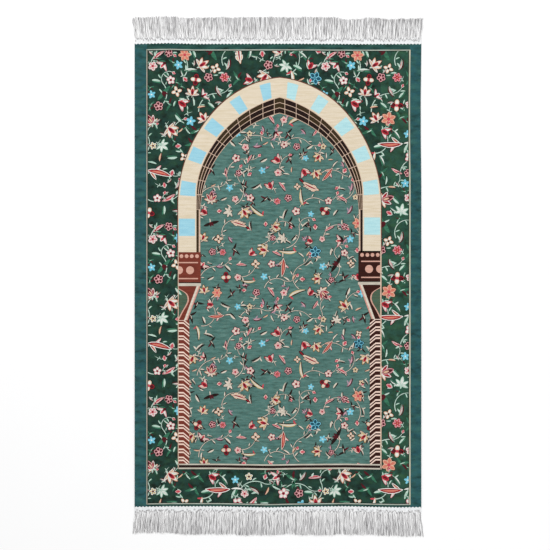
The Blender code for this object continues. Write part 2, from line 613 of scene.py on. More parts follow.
@dataclass
class Inlay:
    """A piece of pattern: flat patches of yarn that stand a little proud of the cloth."""

    name: str
    loom: Loom
    dyehouse: Dyehouse
    sink: float = 0.3  # how deep it is bedded in the cloth, in millimetres
    step: float = 28.0  # the longest step in a bar, so that it can follow the cloth
    dot_sides: int = 18  # how many sides a round dot has
    cloth: Cloth = field(default_factory=bmesh.new)

    @property
    def base(self) -> float:
        """The height of its bedded side."""
        return self.loom.top - self.sink

    def raise_up(self, verts: Sequence[Corner], crest: float, dye: Dye) -> list[bmesh.types.BMFace]:
        """Raises a flat outline into a closed patch.

        Args:
            verts: The outline's corners.
            crest: How far it stands above the cloth, in millimetres.
            dye: Its yarn.

        Returns:
            The patch's top faces.
        """
        base = list(dict.fromkeys(face for vert in verts for face in vert.link_faces))
        grown = bmesh.ops.extrude_face_region(self.cloth, geom=base)["geom"]
        tops = [item for item in grown if isinstance(item, bmesh.types.BMFace)]
        lifted = [item for item in grown if isinstance(item, Corner)]
        bmesh.ops.translate(self.cloth, verts=lifted, vec=(0.0, 0.0, crest + self.sink))
        for face in [*base, *(face for vert in lifted for face in vert.link_faces)]:
            face.material_index = DYES.index(dye)
        return tops

    def patch(self, place: Place, dye: Dye, crest: Crest, along: int = 1, across: int = 1) -> None:
        """Weaves one patch.

        Args:
            place: Gives a point of the drawing for shares (0 to 1) along and across the patch.
            dye: Its yarn.
            crest: Its height.
            along: How many steps it has along.
            across: How many steps it has across.
        """
        grid = bmesh.ops.create_grid(self.cloth, x_segments=along, y_segments=across, size=0.5)["verts"]
        for vert in grid:
            vert.co = Vector((*place(vert.co.x + 0.5, vert.co.y + 0.5), self.base))
        self.raise_up(grid, crest.value, dye)

    def bar(self, left: float, low: float, right: float, high: float, dye: Dye, crest: Crest) -> None:
        """Weaves a straight bar.

        Args:
            left: Its left side.
            low: Its lower side.
            right: Its right side.
            high: Its upper side.
            dye: Its yarn.
            crest: Its height.
        """
        wide, tall = right - left, high - low
        steps, rows = (max(1, round(length / self.step)) for length in (wide, tall))
        self.patch(lambda u, v: (left + u * wide, low + v * tall), dye, crest, steps, rows)

    def disc(self, x: float, y: float, radius: float, dye: Dye, crest: Crest) -> None:
        """Weaves a round dot.

        Args:
            x: Its middle's X.
            y: Its middle's Y.
            radius: Its radius.
            dye: Its yarn.
            crest: Its height.
        """
        sides = self.dot_sides
        ring = bmesh.ops.create_circle(self.cloth, cap_ends=True, segments=sides, radius=radius)["verts"]
        bmesh.ops.translate(self.cloth, verts=ring, vec=(x, y, self.base))
        self.raise_up(ring, crest.value, dye)

    def trim(self, x: float, y: float, outwards: Point) -> None:
        """Cuts off what lies past a line, and closes the cut.

        Args:
            x: A point on the line.
            y: The same point's height.
            outwards: The direction of what is cut off.
        """
        cut = bmesh.ops.bisect_plane(
            self.cloth,
            geom=[*self.cloth.verts, *self.cloth.edges, *self.cloth.faces],
            dist=1e-4,
            plane_co=(x, y, 0.0),
            plane_no=(*outwards, 0.0),
            clear_outer=True,
        )["geom_cut"]
        edges = [item for item in cut if isinstance(item, bmesh.types.BMEdge)]
        for face in bmesh.ops.holes_fill(self.cloth, edges=edges, sides=0)["faces"]:
            neighbours = [other for edge in face.edges for other in edge.link_faces if other is not face]
            face.material_index = neighbours[0].material_index

    def lift(self, distance: float) -> None:
        """Moves the piece towards the arch."""
        bmesh.ops.translate(self.cloth, verts=self.cloth.verts[:], vec=(0.0, distance, 0.0))

    def stamp(self, drawing: bpy.types.Mesh, where: Matrix) -> None:
        """Adds a copy of a ready drawing.

        Args:
            drawing: The drawing's mesh, in millimetres.
            where: Its place, turn and size.
        """
        copy = drawing.copy()
        copy.transform(where)
        self.cloth.from_mesh(copy)
        bpy.data.meshes.remove(copy)

    def draw_bake_map(self) -> None:
        """Gives the piece a flat map seen from above, with its sides and back on a strip of their own."""
        layer = self.cloth.loops.layers.uv.new("OFBake")
        xs = [vert.co.x for vert in self.cloth.verts]
        ys = [vert.co.y for vert in self.cloth.verts]
        left, low = min(xs), min(ys)
        width, length = max(xs) - left, max(ys) - low
        for face in self.cloth.faces:
            start, height = FACE_STRIP if face.normal.z > 0.5 else BACK_STRIP
            for corner in face.loops:
                u = (corner.vert.co.x - left) / width
                v = (corner.vert.co.y - low) / length
                corner[layer].uv = ((1 - 2 * MAP_RIM) * u + MAP_RIM, start + height * v + MAP_RIM)

    def finish(self, smooth: bool = False) -> Solid:
        """Lays the piece on the frame and dresses it in its yarns.

        Args:
            smooth: Whether its faces are shaded smooth.

        Returns:
            The finished object.
        """
        bmesh.ops.recalc_face_normals(self.cloth, faces=self.cloth.faces[:])
        used = sorted({face.material_index for face in self.cloth.faces})
        for face in self.cloth.faces:
            face.material_index = used.index(face.material_index)
        self.draw_bake_map()
        self.loom.settle(self.cloth)
        made = hand_over(self.name, self.cloth, smooth)
        for index in used:
            made.data.materials.append(self.dyehouse.pile(DYES[index]))
        return made


def hand_over(name: str, cloth: Cloth, smooth: bool) -> Solid:
    """Turns a mesh in the frame's metres into a piece that rides on the rug.

    Args:
        name: The piece's name.
        cloth: Its mesh, which is freed.
        smooth: Whether its faces are shaded smooth.

    Returns:
        The new object.
    """
    mesh = bpy.data.meshes.new(name)
    cloth.to_mesh(mesh)
    cloth.free()
    if smooth:
        mesh.shade_smooth()
        mesh.set_sharp_from_angle(angle=math.radians(SHARP_ANGLE))
    made = bpy.data.objects.new(name, mesh)
    bpy.context.scene.collection.objects.link(made)
    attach(made, "root")
    return made


# ------------------------ the niche and its edges


FARTHEST = 90.0  # millimetres that two lines of the arch are apart at the most
HALVINGS = 22  # how many times that distance is halved to find the real one


@dataclass(frozen=True)
class ArchLine:
    """One line of the pointed arch: a straight leg, a shoulder arc and a crown arc on each side."""

    half_span: float  # half the distance between its legs, in millimetres
    spring: float  # where the legs end
    shoulder: float  # radius of the shoulder arcs
    turn: float  # how far the shoulder arcs turn, in degrees
    crown: float  # radius of the crown arcs, which meet at the point
    upright: float = 70.0  # how far from the axis the joints across the line start to turn upright
    steep: float = 0.8  # how soon they have turned
    foot: float = 54.9

    @property
    def bend(self) -> float:
        """The shoulder's turn, in radians."""
        return math.radians(self.turn)

    @property
    def shoulder_middle(self) -> Vector:
        """The middle of the left shoulder arc."""
        return Vector((self.shoulder - self.half_span, self.spring))

    @property
    def crown_middle(self) -> Vector:
        """The middle of the left crown arc."""
        step = self.crown - self.shoulder
        return self.shoulder_middle + step * Vector((math.cos(self.bend), -math.sin(self.bend)))

    @property
    def half_run(self) -> float:
        """The line's length from a foot to the point.

        Returns:
            Millimetres.
        """
        last = math.acos(self.crown_middle.x / self.crown)
        leg = self.spring - self.foot
        return leg + self.shoulder * self.bend + self.crown * (last - self.bend)

    def at(self, run: float) -> tuple[Vector, Vector]:
        """Finds a place along the line.

        Args:
            run: Millimetres along it, from the left foot over the point to the right foot.

        Returns:
            The place, and the direction into the niche. At the crown the direction turns upright.
        """
        mirrored = run > self.half_run
        left = 2 * self.half_run - run if mirrored else run
        leg = self.spring - self.foot
        if left <= leg:
            place, inwards = Vector((-self.half_span, self.foot + left)), Vector((1.0, 0.0))
        else:
            turned = (left - leg) / self.shoulder
            middle, radius = self.shoulder_middle, self.shoulder
            if turned > self.bend:
                turned = self.bend + (left - leg - self.shoulder * self.bend) / self.crown
                middle, radius = self.crown_middle, self.crown
            inwards = Vector((math.cos(turned), -math.sin(turned)))
            place = middle - radius * inwards
        inwards.x *= min(1.0, abs(place.x) / self.upright) ** self.steep
        inwards.normalize()
        if mirrored:
            place.x, inwards.x = -place.x, -inwards.x
        return place, inwards

    def depth(self, place: Vector) -> float:
        """Tells how far inside the line a place is.

        Args:
            place: The place, from the axis.

        Returns:
            Millimetres, below 0 outside the line.
        """
        left = Vector((-abs(place.x), place.y))
        if left.y <= self.spring:
            return left.x + self.half_span
        arm = self.shoulder_middle - left
        if math.atan2(-arm.y, arm.x) <= self.bend:
            return self.shoulder - arm.length
        return self.crown - (left - self.crown_middle).length

    def reach(self, place: Vector, inwards: Vector) -> float:
        """Tells how far it is from a place outside the line to the line, along a direction.

        Args:
            place: The place, from the axis.
            inwards: The direction.

        Returns:
            Millimetres.
        """
        near, far = 0.0, FARTHEST
        for _ in range(HALVINGS):
            middle = (near + far) / 2
            if self.depth(place + middle * inwards) < 0:
                near = middle
            else:
                far = middle
        return (near + far) / 2


@dataclass(frozen=True)
class ArchRing:
    """A ring of the arch, between an outer line and an inner one."""

    outer: ArchLine  # its outer line
    inner: ArchLine  # its inner line
    axis: float  # where the niche's axis is, in millimetres

    def at(self, run: float, depth: float) -> Point:
        """Finds a place in the ring.

        Args:
            run: Millimetres along the outer line, from its left foot.
            depth: The share of the way from the outer line to the inner one.

        Returns:
            The place on the drawing.
        """
        place, inwards = self.outer.at(run)
        place = place + inwards * depth * self.inner.reach(place, inwards)
        return place.x + self.axis, place.y

    def stretch(self, start: float, end: float, outer: float, inner: float) -> Place:
        """Gives the place function of a patch of the ring."""
        return lambda u, v: self.at(start + u * (end - start), outer + v * (inner - outer))


@dataclass(frozen=True)
class Niche:
    """The arched niche: its arch lines, the heights of its posts' ends, and their edges from its axis."""

    axis: float = 3.8  # how far its axis is to the right of the body's middle
    outer: ArchLine = ArchLine(240.8, 166.6, 332.5, 43.2, 241.1)  # the outer line of the arch band
    # The line between the band and the bricks.
    middle: ArchLine = ArchLine(197.6, 193.4, 175.1, 19.5, 268.8, upright=150.0, steep=2.6)
    inner: ArchLine = ArchLine(188.0, 145.1, 245.7, 69.6, 272.8)  # the inner line of the bricks
    capital_top: float = 54.9
    capital_foot: float = -16.4
    column_top: float = -106.6
    column_foot: float = -450.3
    capital_edge: float = 187.0  # the distance from the axis to the capitals' inner edge
    column_edge: float = 214.0  # the distance to the columns' inner edge
    outer_edge: float = 240.3
    sill: float = -460.0  # the height of the lowest line below the field
    sill_middle: float = -454.0  # the height down to which the ground below the lines is the field's

    def inside(self, x: float, y: float) -> float:
        """Tells how far inside the niche's outer edge a place is, frame and columns included."""
        place = Vector((x - self.axis, y))
        return min(self.outer.depth(place), y - self.sill)

    def field_half_width(self, y: float) -> float:
        """Gives half the width of the field below the arch.

        Args:
            y: The height.

        Returns:
            Millimetres from the axis.
        """
        if y >= self.capital_foot:
            return self.capital_edge
        if y <= self.column_top:
            return self.column_edge
        share = (self.capital_foot - y) / (self.capital_foot - self.column_top)
        return self.capital_edge + share * (self.column_edge - self.capital_edge)

    def in_field(self, x: float, y: float) -> float:
        """Tells how far inside the flowered field a place is.

        Args:
            x: Its X.
            y: Its Y.

        Returns:
            Millimetres, below 0 outside the field.
        """
        place = Vector((x - self.axis, y))
        if y > self.capital_top:
            return self.inner.depth(place)
        return min(self.field_half_width(y) - abs(place.x), y - self.column_foot)


class Ground(Enum):
    """The two flowered grounds."""

    BORDER = 0
    FIELD = 1


@dataclass(frozen=True)
class Frame:
    """The rectangle of the outer frame line: the middle of the line on each side."""

    left: float = -310.9
    right: float = 312.9
    top: float = 534.6
    foot: float = -542.4

    def depth(self, x: float, y: float) -> float:
        """Tells how far inside the frame line a place is."""
        return min(x - self.left, self.right - x, self.top - y, y - self.foot)


@dataclass
class Weaving:
    """A woven part of the rug, with the loom, the dyehouse, and the lines that its drawing keeps to."""

    loom: Loom
    dyehouse: Dyehouse
    niche: Niche
    frame_line: Frame

    def inlay(self, name: str) -> Inlay:
        """Starts one of its pieces."""
        return Inlay(name, self.loom, self.dyehouse)


# ------------------------ the cloth itself


@dataclass
class RugGround(Weaving):
    """The woven body: one closed sheet with weft ribs, dyed in zones."""

    ribs: int = 423  # how many weft ribs it has from end to end
    columns: int = 24
    rib_depth: float = 0.14  # depth of the hollow between two ribs, in millimetres
    roll: float = 0.7  # how far the outermost warp rolls down, in millimetres
    selvedge: float = 1.4  # how wide that warp is
    # How far inside the arch's outer line the ground turns from the border's to the field's.
    band_middle: float = 22.0

    def zone(self, x: float, y: float) -> Dye:
        """Tells which yarn the ground has at a place.

        Args:
            x: Its X.
            y: Its Y.

        Returns:
            The yarn.
        """
        if not self.frame_line.left < x < self.frame_line.right:
            return Dye.TEAL_SIDE
        if not self.frame_line.foot < y < self.frame_line.top:
            return Dye.TEAL_END
        place = Vector((x - self.niche.axis, y))
        within = abs(place.x) < self.niche.outer_edge and y > self.niche.sill_middle
        hollow = self.niche.column_top < y < self.niche.capital_foot
        if within and hollow and abs(place.x) > self.niche.column_edge:
            return Dye.HOLLOW_GROUND
        if y > self.niche.outer.spring:
            within = within and self.niche.outer.depth(place) > self.band_middle
        if within:
            return Dye.FIELD_GROUND
        return Dye.BORDER_RIGHT if place.x > self.niche.outer_edge else Dye.BORDER_GROUND

    def shape(self, x: float, y: float) -> float:
        """Gives the height of the cloth's face at a place.

        Args:
            x: Its X.
            y: Its Y.

        Returns:
            Millimetres above the floor.
        """
        pitch = self.loom.length / self.ribs
        hollow = self.rib_depth * (0.5 - 0.5 * math.cos(math.tau * y / pitch))
        edge = min(self.loom.width / 2 - abs(x), self.loom.length / 2 - abs(y))
        droop = self.roll * max(0.0, 1.0 - edge / self.selvedge) ** 2
        return self.loom.top - hollow - droop

    def build(self) -> Solid:
        """Weaves the sheet.

        Returns:
            The finished object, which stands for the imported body.
        """
        sheet = self.inlay("rug_ground")
        cloth = sheet.cloth
        grid = bmesh.ops.create_grid(cloth, x_segments=self.columns, y_segments=2 * self.ribs, size=0.5)
        bmesh.ops.scale(cloth, vec=(self.loom.width, self.loom.length, 1.0), verts=grid["verts"])
        edge = self.loom.width / 2 - self.selvedge
        outer, inner = self.niche.outer_edge, self.niche.column_edge
        posts = [self.niche.axis + post for post in (-outer, -inner, inner, outer)]
        for x in (-edge, self.frame_line.left, *posts, self.frame_line.right, edge):
            everything = [*cloth.verts, *cloth.edges, *cloth.faces]
            bmesh.ops.bisect_plane(cloth, geom=everything, dist=1e-3, plane_co=(x, 0, 0), plane_no=(1, 0, 0))
        for face in cloth.faces:
            middle = face.calc_center_median()
            face.material_index = DYES.index(self.zone(middle.x, middle.y))
        grown = bmesh.ops.extrude_face_region(cloth, geom=cloth.faces[:])["geom"]
        for vert in [item for item in grown if isinstance(item, Corner)]:
            vert.co.z = self.shape(vert.co.x, vert.co.y)
        return sheet.finish(smooth=True)


# ------------------------ flowers


class Tone(Enum):
    """The colours of a flower drawing, each as its yarn on the border and on the field."""

    CREAM = (Dye.WHITE, Dye.CREAM)
    PINK = (Dye.PINK, Dye.PINK)
    ROSE = (Dye.ROSE, Dye.ROSE)
    RED = (Dye.RED, Dye.RED)
    MAROON = (Dye.MAROON, Dye.MAROON)
    CORAL = (Dye.CORAL, Dye.CORAL)
    PEACH = (Dye.PEACH, Dye.PEACH)
    YELLOW = (Dye.YELLOW, Dye.YELLOW)
    SKY = (Dye.BRIGHT_SKY, Dye.BRIGHT_SKY)
    TEAL_HEART = (Dye.DARK_TEAL, Dye.DARK_TEAL)
    LILAC = (Dye.MINT, Dye.LILAC)
    GOLD = (Dye.PEACH, Dye.YELLOW)
    LEAF = (Dye.MINT, Dye.CREAM)
    GREEN = (Dye.LEAF_GREEN, Dye.DARK_BROWN)
    SHADOW = (Dye.DEEP_GREEN, Dye.DARK_BROWN)

    def on(self, ground: Ground) -> Dye:
        """Gives the yarn on one of the grounds."""
        return self.value[ground.value]


# The tones by their plain names, for the drawings.
CREAM, PINK, ROSE, RED, MAROON, CORAL, PEACH, YELLOW, *OTHERS = Tone
SKY, TEAL_HEART, LILAC, GOLD, LEAF, GREEN, SHADOW = OTHERS


class Petal(NamedTuple):
    """One petal or leaf, in millimetres, growing from (x, y) towards +Y before it is turned."""

    long: float
    wide: float
    tone: Tone
    rim: Tone | None = None
    x: float = 0.0
    y: float = 0.0
    turn: float = 0.0  # degrees, anticlockwise
    point: float = 0.0  # 0 is round, 1 is sharp at both ends
    bend: float = 0.0  # how far its tip strays to the right


class Drawing(NamedTuple):
    """A whole flower or leaf."""

    letter: str  # its letter on the chart
    edge: Tone | None  # the tone of the line round it
    petals: tuple[Petal, ...]  # from the lowest up


def turned(petal: Petal, degrees: float) -> Petal:
    """Turns a petal about the middle of its flower.

    Args:
        petal: The petal.
        degrees: How far it is turned, anticlockwise.

    Returns:
        The turned petal.
    """
    angle = math.radians(degrees)
    x = petal.x * math.cos(angle) - petal.y * math.sin(angle)
    y = petal.x * math.sin(angle) + petal.y * math.cos(angle)
    return petal._replace(x=x, y=y, turn=petal.turn + degrees)


def ring_of(count: int, petal: Petal, start: float = 0.0) -> tuple[Petal, ...]:
    """Repeats a petal evenly round the middle of its flower."""
    return tuple(turned(petal, start + 360 * step / count) for step in range(count))


def pair_of(petal: Petal) -> tuple[Petal, ...]:
    """Gives a petal and its mirror image."""
    return petal, petal._replace(x=-petal.x, turn=-petal.turn, bend=-petal.bend)


def eye(radius: float, tone: Tone) -> tuple[Petal, ...]:
    """Gives the round middle of a flower."""
    return (Petal(2 * radius, 2 * radius, tone, y=-radius),)


def feathers(first: float, step: float, count: int, petal: Petal) -> tuple[Petal, ...]:
    """Repeats a pair of side lobes up a leaf's rib, each smaller than the last.

    Args:
        first: Where the lowest pair grows from the rib.
        step: Distance from one pair to the next.
        count: How many pairs there are.
        petal: The lowest lobe on the right.

    Returns:
        All the lobes.
    """
    shrink = 0.14
    lobes: tuple[Petal, ...] = ()
    for index in range(count):
        size = 1.0 - shrink * index
        lobe = petal._replace(y=first + step * index, long=petal.long * size, wide=petal.wide * size)
        lobes += pair_of(lobe)
    return lobes


class Motif(Enum):
    """The kinds of flower and leaf."""

    PINK_ROSETTE = Drawing("r", MAROON, (
        *ring_of(5, Petal(7.0, 6.4, PINK, CREAM, y=0.6)),
        *eye(2.3, ROSE),
        *eye(1.0, MAROON),
    ))
    RED_ROSETTE = Drawing("d", SHADOW, (
        *ring_of(5, Petal(6.8, 6.2, MAROON, PINK, y=0.5)),
        *eye(1.7, PINK),
    ))
    CARNATION = Drawing("n", MAROON, (
        *ring_of(6, Petal(7.6, 5.4, ROSE, PINK, y=0.4)),
        *eye(3.0, RED),
        *eye(1.4, CORAL),
    ))
    SKY_STAR = Drawing("S", SHADOW, (
        *ring_of(5, Petal(11.0, 8.4, TEAL_HEART, SKY, y=0.6, point=0.3)),
        *eye(1.6, TEAL_HEART),
    ))
    SKY_FLOWER = Drawing("b", None, (
        *ring_of(5, Petal(7.6, 4.6, SKY, y=0.2, point=0.3)),
        *eye(1.4, CREAM),
    ))
    CORAL_STAR = Drawing("O", MAROON, (
        *ring_of(6, Petal(11.2, 7.4, CORAL, PEACH, y=0.8, point=0.5)),
        *eye(2.8, ROSE),
    ))
    CREAM_FLOWER = Drawing("w", SHADOW, (
        *ring_of(5, Petal(7.8, 6.4, CREAM, PINK, y=0.6, point=0.1)),
        *eye(2.4, RED),
        *eye(1.2, MAROON),
    ))
    TULIP = Drawing("t", SHADOW, (
        Petal(13.0, 3.2, LEAF, y=-8.0, turn=58, point=0.5, bend=4.0),
        Petal(17.0, 6.2, CREAM, ROSE, y=-7.0, turn=20, point=0.4, bend=-4.0),
        Petal(16.0, 6.2, CREAM, PINK, y=-7.0, turn=-22, point=0.4, bend=4.5),
        Petal(14.0, 8.6, RED, ROSE, y=-7.5, turn=-4, point=0.3),
        Petal(8.0, 2.4, MAROON, y=-5.0, point=0.4),
    ))
    LILY = Drawing("l", SHADOW, (
        Petal(12.0, 3.0, GREEN, y=-9.0, turn=-66, point=0.5, bend=-3.0),
        *pair_of(Petal(14.0, 5.2, CREAM, PINK, y=-6.0, turn=34, point=0.4, bend=-5.0)),
        Petal(12.0, 6.8, ROSE, CREAM, y=-6.5, point=0.35),
        Petal(6.0, 5.0, MAROON, y=-8.0, point=0.3),
    ))
    ACANTHUS = Drawing("A", SHADOW, (
        *feathers(-14.0, 7.5, 4, Petal(12.5, 5.4, PEACH, CREAM, turn=44, point=0.5, bend=2.6)),
        Petal(40.0, 8.8, CREAM, PEACH, y=-20.0, point=0.45, bend=5.0),
        Petal(30.0, 3.0, RED, y=-15.0, point=0.4, bend=3.2),
        Petal(13.0, 4.6, RED, MAROON, x=5.0, y=16.0, turn=-12, point=0.5, bend=2.0),
    ))
    PLUME = Drawing("P", SHADOW, (
        Petal(18.0, 3.0, CREAM, y=-20.0, turn=-170, point=0.5, bend=6.0),
        Petal(17.0, 5.0, CORAL, CREAM, y=-15.0, turn=-34, point=0.5, bend=3.0),
        Petal(14.0, 4.6, CREAM, PINK, y=-8.0, turn=36, point=0.5, bend=-3.0),
        Petal(38.0, 9.0, RED, CREAM, y=-19.0, turn=6, point=0.5, bend=8.0),
        Petal(24.0, 2.8, CORAL, y=-12.0, turn=4, point=0.4, bend=3.6),
    ))
    PALMETTE = Drawing("F", MAROON, (
        *pair_of(Petal(13.0, 5.2, CREAM, PEACH, y=-7.0, turn=66, point=0.45, bend=-3.0)),
        *pair_of(Petal(17.0, 6.4, RED, CREAM, y=-7.0, turn=36, point=0.4)),
        Petal(21.0, 8.6, MAROON, PINK, y=-7.0, point=0.4),
        Petal(10.0, 3.6, PEACH, y=-4.0, point=0.3),
        *pair_of(Petal(8.0, 3.6, LEAF, y=-6.0, turn=140, point=0.4)),
    ))
    WAVY_LEAF = Drawing("v", None, (
        Petal(23.0, 6.4, SHADOW, x=1.0, y=-12.0, point=0.5, bend=6.0),
        Petal(22.0, 5.8, CREAM, PINK, y=-12.0, point=0.5, bend=5.0),
        Petal(15.0, 2.4, ROSE, y=-9.0, point=0.5, bend=3.0),
        Petal(8.0, 3.4, LEAF, y=-6.0, turn=62, point=0.5, bend=2.0),
    ))
    COMMAS = Drawing("c", None, (
        Petal(15.0, 3.8, SHADOW, x=-4.4, y=-7.0, turn=24, point=0.5, bend=-5.0),
        Petal(14.0, 3.0, LEAF, x=-3.0, y=-7.0, turn=24, point=0.5, bend=-5.0),
        Petal(12.0, 3.4, MAROON, x=4.2, y=-6.0, turn=-22, point=0.5, bend=4.5),
        Petal(12.0, 2.8, PEACH, x=3.0, y=-6.0, turn=-22, point=0.5, bend=4.5),
    ))
    DARK_SPRIG = Drawing("k", None, (
        Petal(20.0, 5.0, GREEN, y=-8.0, turn=8, point=0.5, bend=7.0),
        Petal(14.0, 4.6, GREEN, y=-5.0, turn=62, point=0.5, bend=-6.0),
        Petal(12.0, 4.0, MAROON, y=-2.0, turn=-58, point=0.5, bend=4.0),
        Petal(9.0, 1.6, LEAF, x=-1.2, y=-5.0, turn=8, point=0.5, bend=3.0),
    ))
    QUATREFOIL = Drawing("q", SHADOW, (
        *ring_of(2, Petal(10.0, 8.4, MAROON, RED, y=0.5)),
        *ring_of(2, Petal(9.2, 7.6, CREAM, PEACH, y=0.5), start=90),
        *eye(2.5, ROSE),
    ))
    BUD = Drawing("u", SHADOW, (
        *pair_of(Petal(8.4, 2.8, LEAF, y=-5.0, turn=24, point=0.5, bend=-1.5)),
        Petal(10.0, 6.2, ROSE, PINK, y=-4.0, point=0.4),
    ))
    LEAFLET = Drawing("e", None, (
        Petal(15.6, 5.0, GREEN, x=1.5, y=-8.0, point=0.5, bend=4.8),
        Petal(15.0, 3.8, LEAF, y=-8.0, point=0.55, bend=3.2),
    ))
    CURL = Drawing("g", None, (
        Petal(20.0, 4.4, GREEN, x=1.2, y=-10.0, turn=-4, point=0.5, bend=8.6),
        Petal(20.0, 3.6, CREAM, LEAF, y=-10.0, point=0.5, bend=7.5),
        Petal(8.0, 3.0, LEAF, y=-7.0, turn=50, point=0.5, bend=-2.0),
    ))
    CROSS = Drawing("x", SHADOW, (
        *ring_of(4, Petal(7.8, 5.4, CREAM, PEACH, y=0.4, point=0.25)),
        *eye(1.9, SHADOW),
    ))
    YELLOW_FLOWER = Drawing("y", SHADOW, (
        *ring_of(5, Petal(6.2, 4.8, YELLOW, CREAM, y=0.5)),
        *eye(1.9, MAROON),
    ))
    SPRAY = Drawing("W", GREEN, (
        Petal(9.0, 3.0, LEAF, y=-9.0, point=0.2),
        *pair_of(Petal(11.0, 4.6, CREAM, LEAF, y=-4.0, turn=80, point=0.5, bend=-3.0)),
        *pair_of(Petal(13.0, 5.0, CREAM, LEAF, y=-4.0, turn=40, point=0.5, bend=-2.0)),
        Petal(15.0, 5.6, CREAM, LEAF, y=-4.0, point=0.5),
    ))
    LOTUS = Drawing("L", MAROON, (
        Petal(9.0, 3.0, LEAF, y=-11.0, point=0.2, bend=2.0),
        *pair_of(Petal(13.0, 5.0, GOLD, CREAM, y=-6.0, turn=62, point=0.5, bend=-4.0)),
        *pair_of(Petal(16.0, 6.0, CREAM, GOLD, y=-6.5, turn=31, point=0.5, bend=-2.0)),
        Petal(19.0, 6.6, CREAM, GOLD, y=-6.5, point=0.5),
        Petal(13.0, 6.4, RED, ROSE, y=-6.0, point=0.4),
        Petal(5.5, 3.2, MAROON, y=-4.4),
    ))
    WING_LEAF = Drawing("B", None, (
        Petal(11.0, 2.6, LEAF, y=-12.0, point=0.3, bend=2.0),
        *pair_of(Petal(17.0, 7.0, GREEN, y=-3.0, turn=60, point=0.5, bend=-6.0)),
        *pair_of(Petal(11.0, 5.0, MAROON, y=-4.0, turn=26, point=0.5, bend=2.0)),
    ))
    SCROLL = Drawing("h", None, (
        Petal(31.0, 7.2, SHADOW, x=1.2, y=-14.0, turn=26, point=0.45, bend=17.0),
        Petal(30.0, 6.0, GOLD, y=-14.0, turn=26, point=0.45, bend=16.0),
        Petal(28.0, 3.8, CREAM, x=0.2, y=-13.0, turn=26, point=0.45, bend=15.2),
        Petal(9.0, 3.6, ROSE, x=-1.0, y=-12.0, turn=-52, point=0.5, bend=2.0),
    ))
    HUSK = Drawing("p", None, (
        Petal(18.0, 5.6, MAROON, x=1.2, y=-9.0, turn=-6, point=0.5, bend=-6.0),
        Petal(17.0, 4.4, PINK, LILAC, y=-9.0, turn=-6, point=0.5, bend=-6.5),
        Petal(9.0, 3.0, LILAC, y=-5.0, turn=48, point=0.5, bend=-2.0),
    ))
    TWIG = Drawing("T", None, (
        Petal(27.0, 2.6, SHADOW, x=0.7, y=-13.0, point=0.2, bend=9.0),
        Petal(27.0, 1.7, LEAF, y=-13.0, point=0.2, bend=8.4),
        Petal(8.0, 3.0, LEAF, x=2.0, y=0.0, turn=42, point=0.5, bend=-2.0),
        Petal(8.0, 2.8, LEAF, x=1.0, y=-4.0, turn=-62, point=0.5, bend=2.0),
    ))


BY_LETTER = {motif.value.letter: motif for motif in Motif}
LEAVES = (
    Motif.WAVY_LEAF,
    Motif.COMMAS,
    Motif.DARK_SPRIG,
    Motif.LEAFLET,
    Motif.CURL,
    Motif.TWIG,
    Motif.HUSK,
    Motif.WING_LEAF,
    Motif.SCROLL,
)
LARGE = (Motif.ACANTHUS, Motif.PLUME)
TUCKED = (Motif.LEAFLET, Motif.HUSK, Motif.CURL, Motif.TWIG, Motif.DARK_SPRIG)

# One repeat of the flowers. Each letter is a motif, each full stop a space left open.
FLOWER_CHART = (
    "rctLPuSgkvdub",
    "vxA.upLlcbkgt",
    "ndh.wvycFerwk",
    "gwbqepytuWLh.",
    "LkguvdOeB.Agu",
    "WetrlbgLxp..d",
    "vhcSewuqdnktL",
    "P.gbBxLlpevxw",
    ".cuLdktceqrhb",
    "rhtF.ebLOkudv",
    "lkpv.Lcktgbyu",
    "wdeyWukePerpc",
    "tkbLcexhg.wve",
)


class Vine(NamedTuple):
    """One stem of the repeat: where it starts, where it heads, and its bends."""

    x: float
    y: float
    heading: float  # degrees, anticlockwise from +X
    bends: tuple[Point, ...]  # radius in millimetres and sweep in degrees, above 0 to the left


VINES = (
    Vine(18, 40, 75, ((38, -120), (26, 60))),
    Vine(95, 22, 20, ((34, 95), (22, -110))),
    Vine(170, 60, 110, ((40, -95),)),
    Vine(238, 30, -10, ((30, 130), (20, -80))),
    Vine(330, 52, 60, ((44, -85), (24, 120))),
    Vine(60, 118, 150, ((32, -125), (40, 50))),
    Vine(140, 140, 30, ((36, 100), (18, -160))),
    Vine(232, 128, 95, ((42, -100), (28, 70))),
    Vine(318, 150, -30, ((34, 120),)),
    Vine(388, 120, 80, ((30, -110), (24, 90))),
    Vine(30, 215, 10, ((40, 90), (22, -130))),
    Vine(118, 232, 100, ((34, -140),)),
    Vine(196, 210, 45, ((38, 80), (30, -95))),
    Vine(290, 238, 120, ((30, -120), (36, 60))),
    Vine(372, 222, 0, ((42, 85), (20, -150))),
    Vine(62, 312, 70, ((36, -100), (26, 100))),
    Vine(150, 330, -20, ((32, 135),)),
    Vine(228, 322, 85, ((44, -90), (22, 120))),
    Vine(318, 318, 20, ((34, 110), (28, -80))),
    Vine(20, 388, 130, ((30, -115),)),
    Vine(112, 392, 40, ((40, -80), (24, 130))),
    Vine(300, 392, 90, ((36, -105), (30, 60))),
)


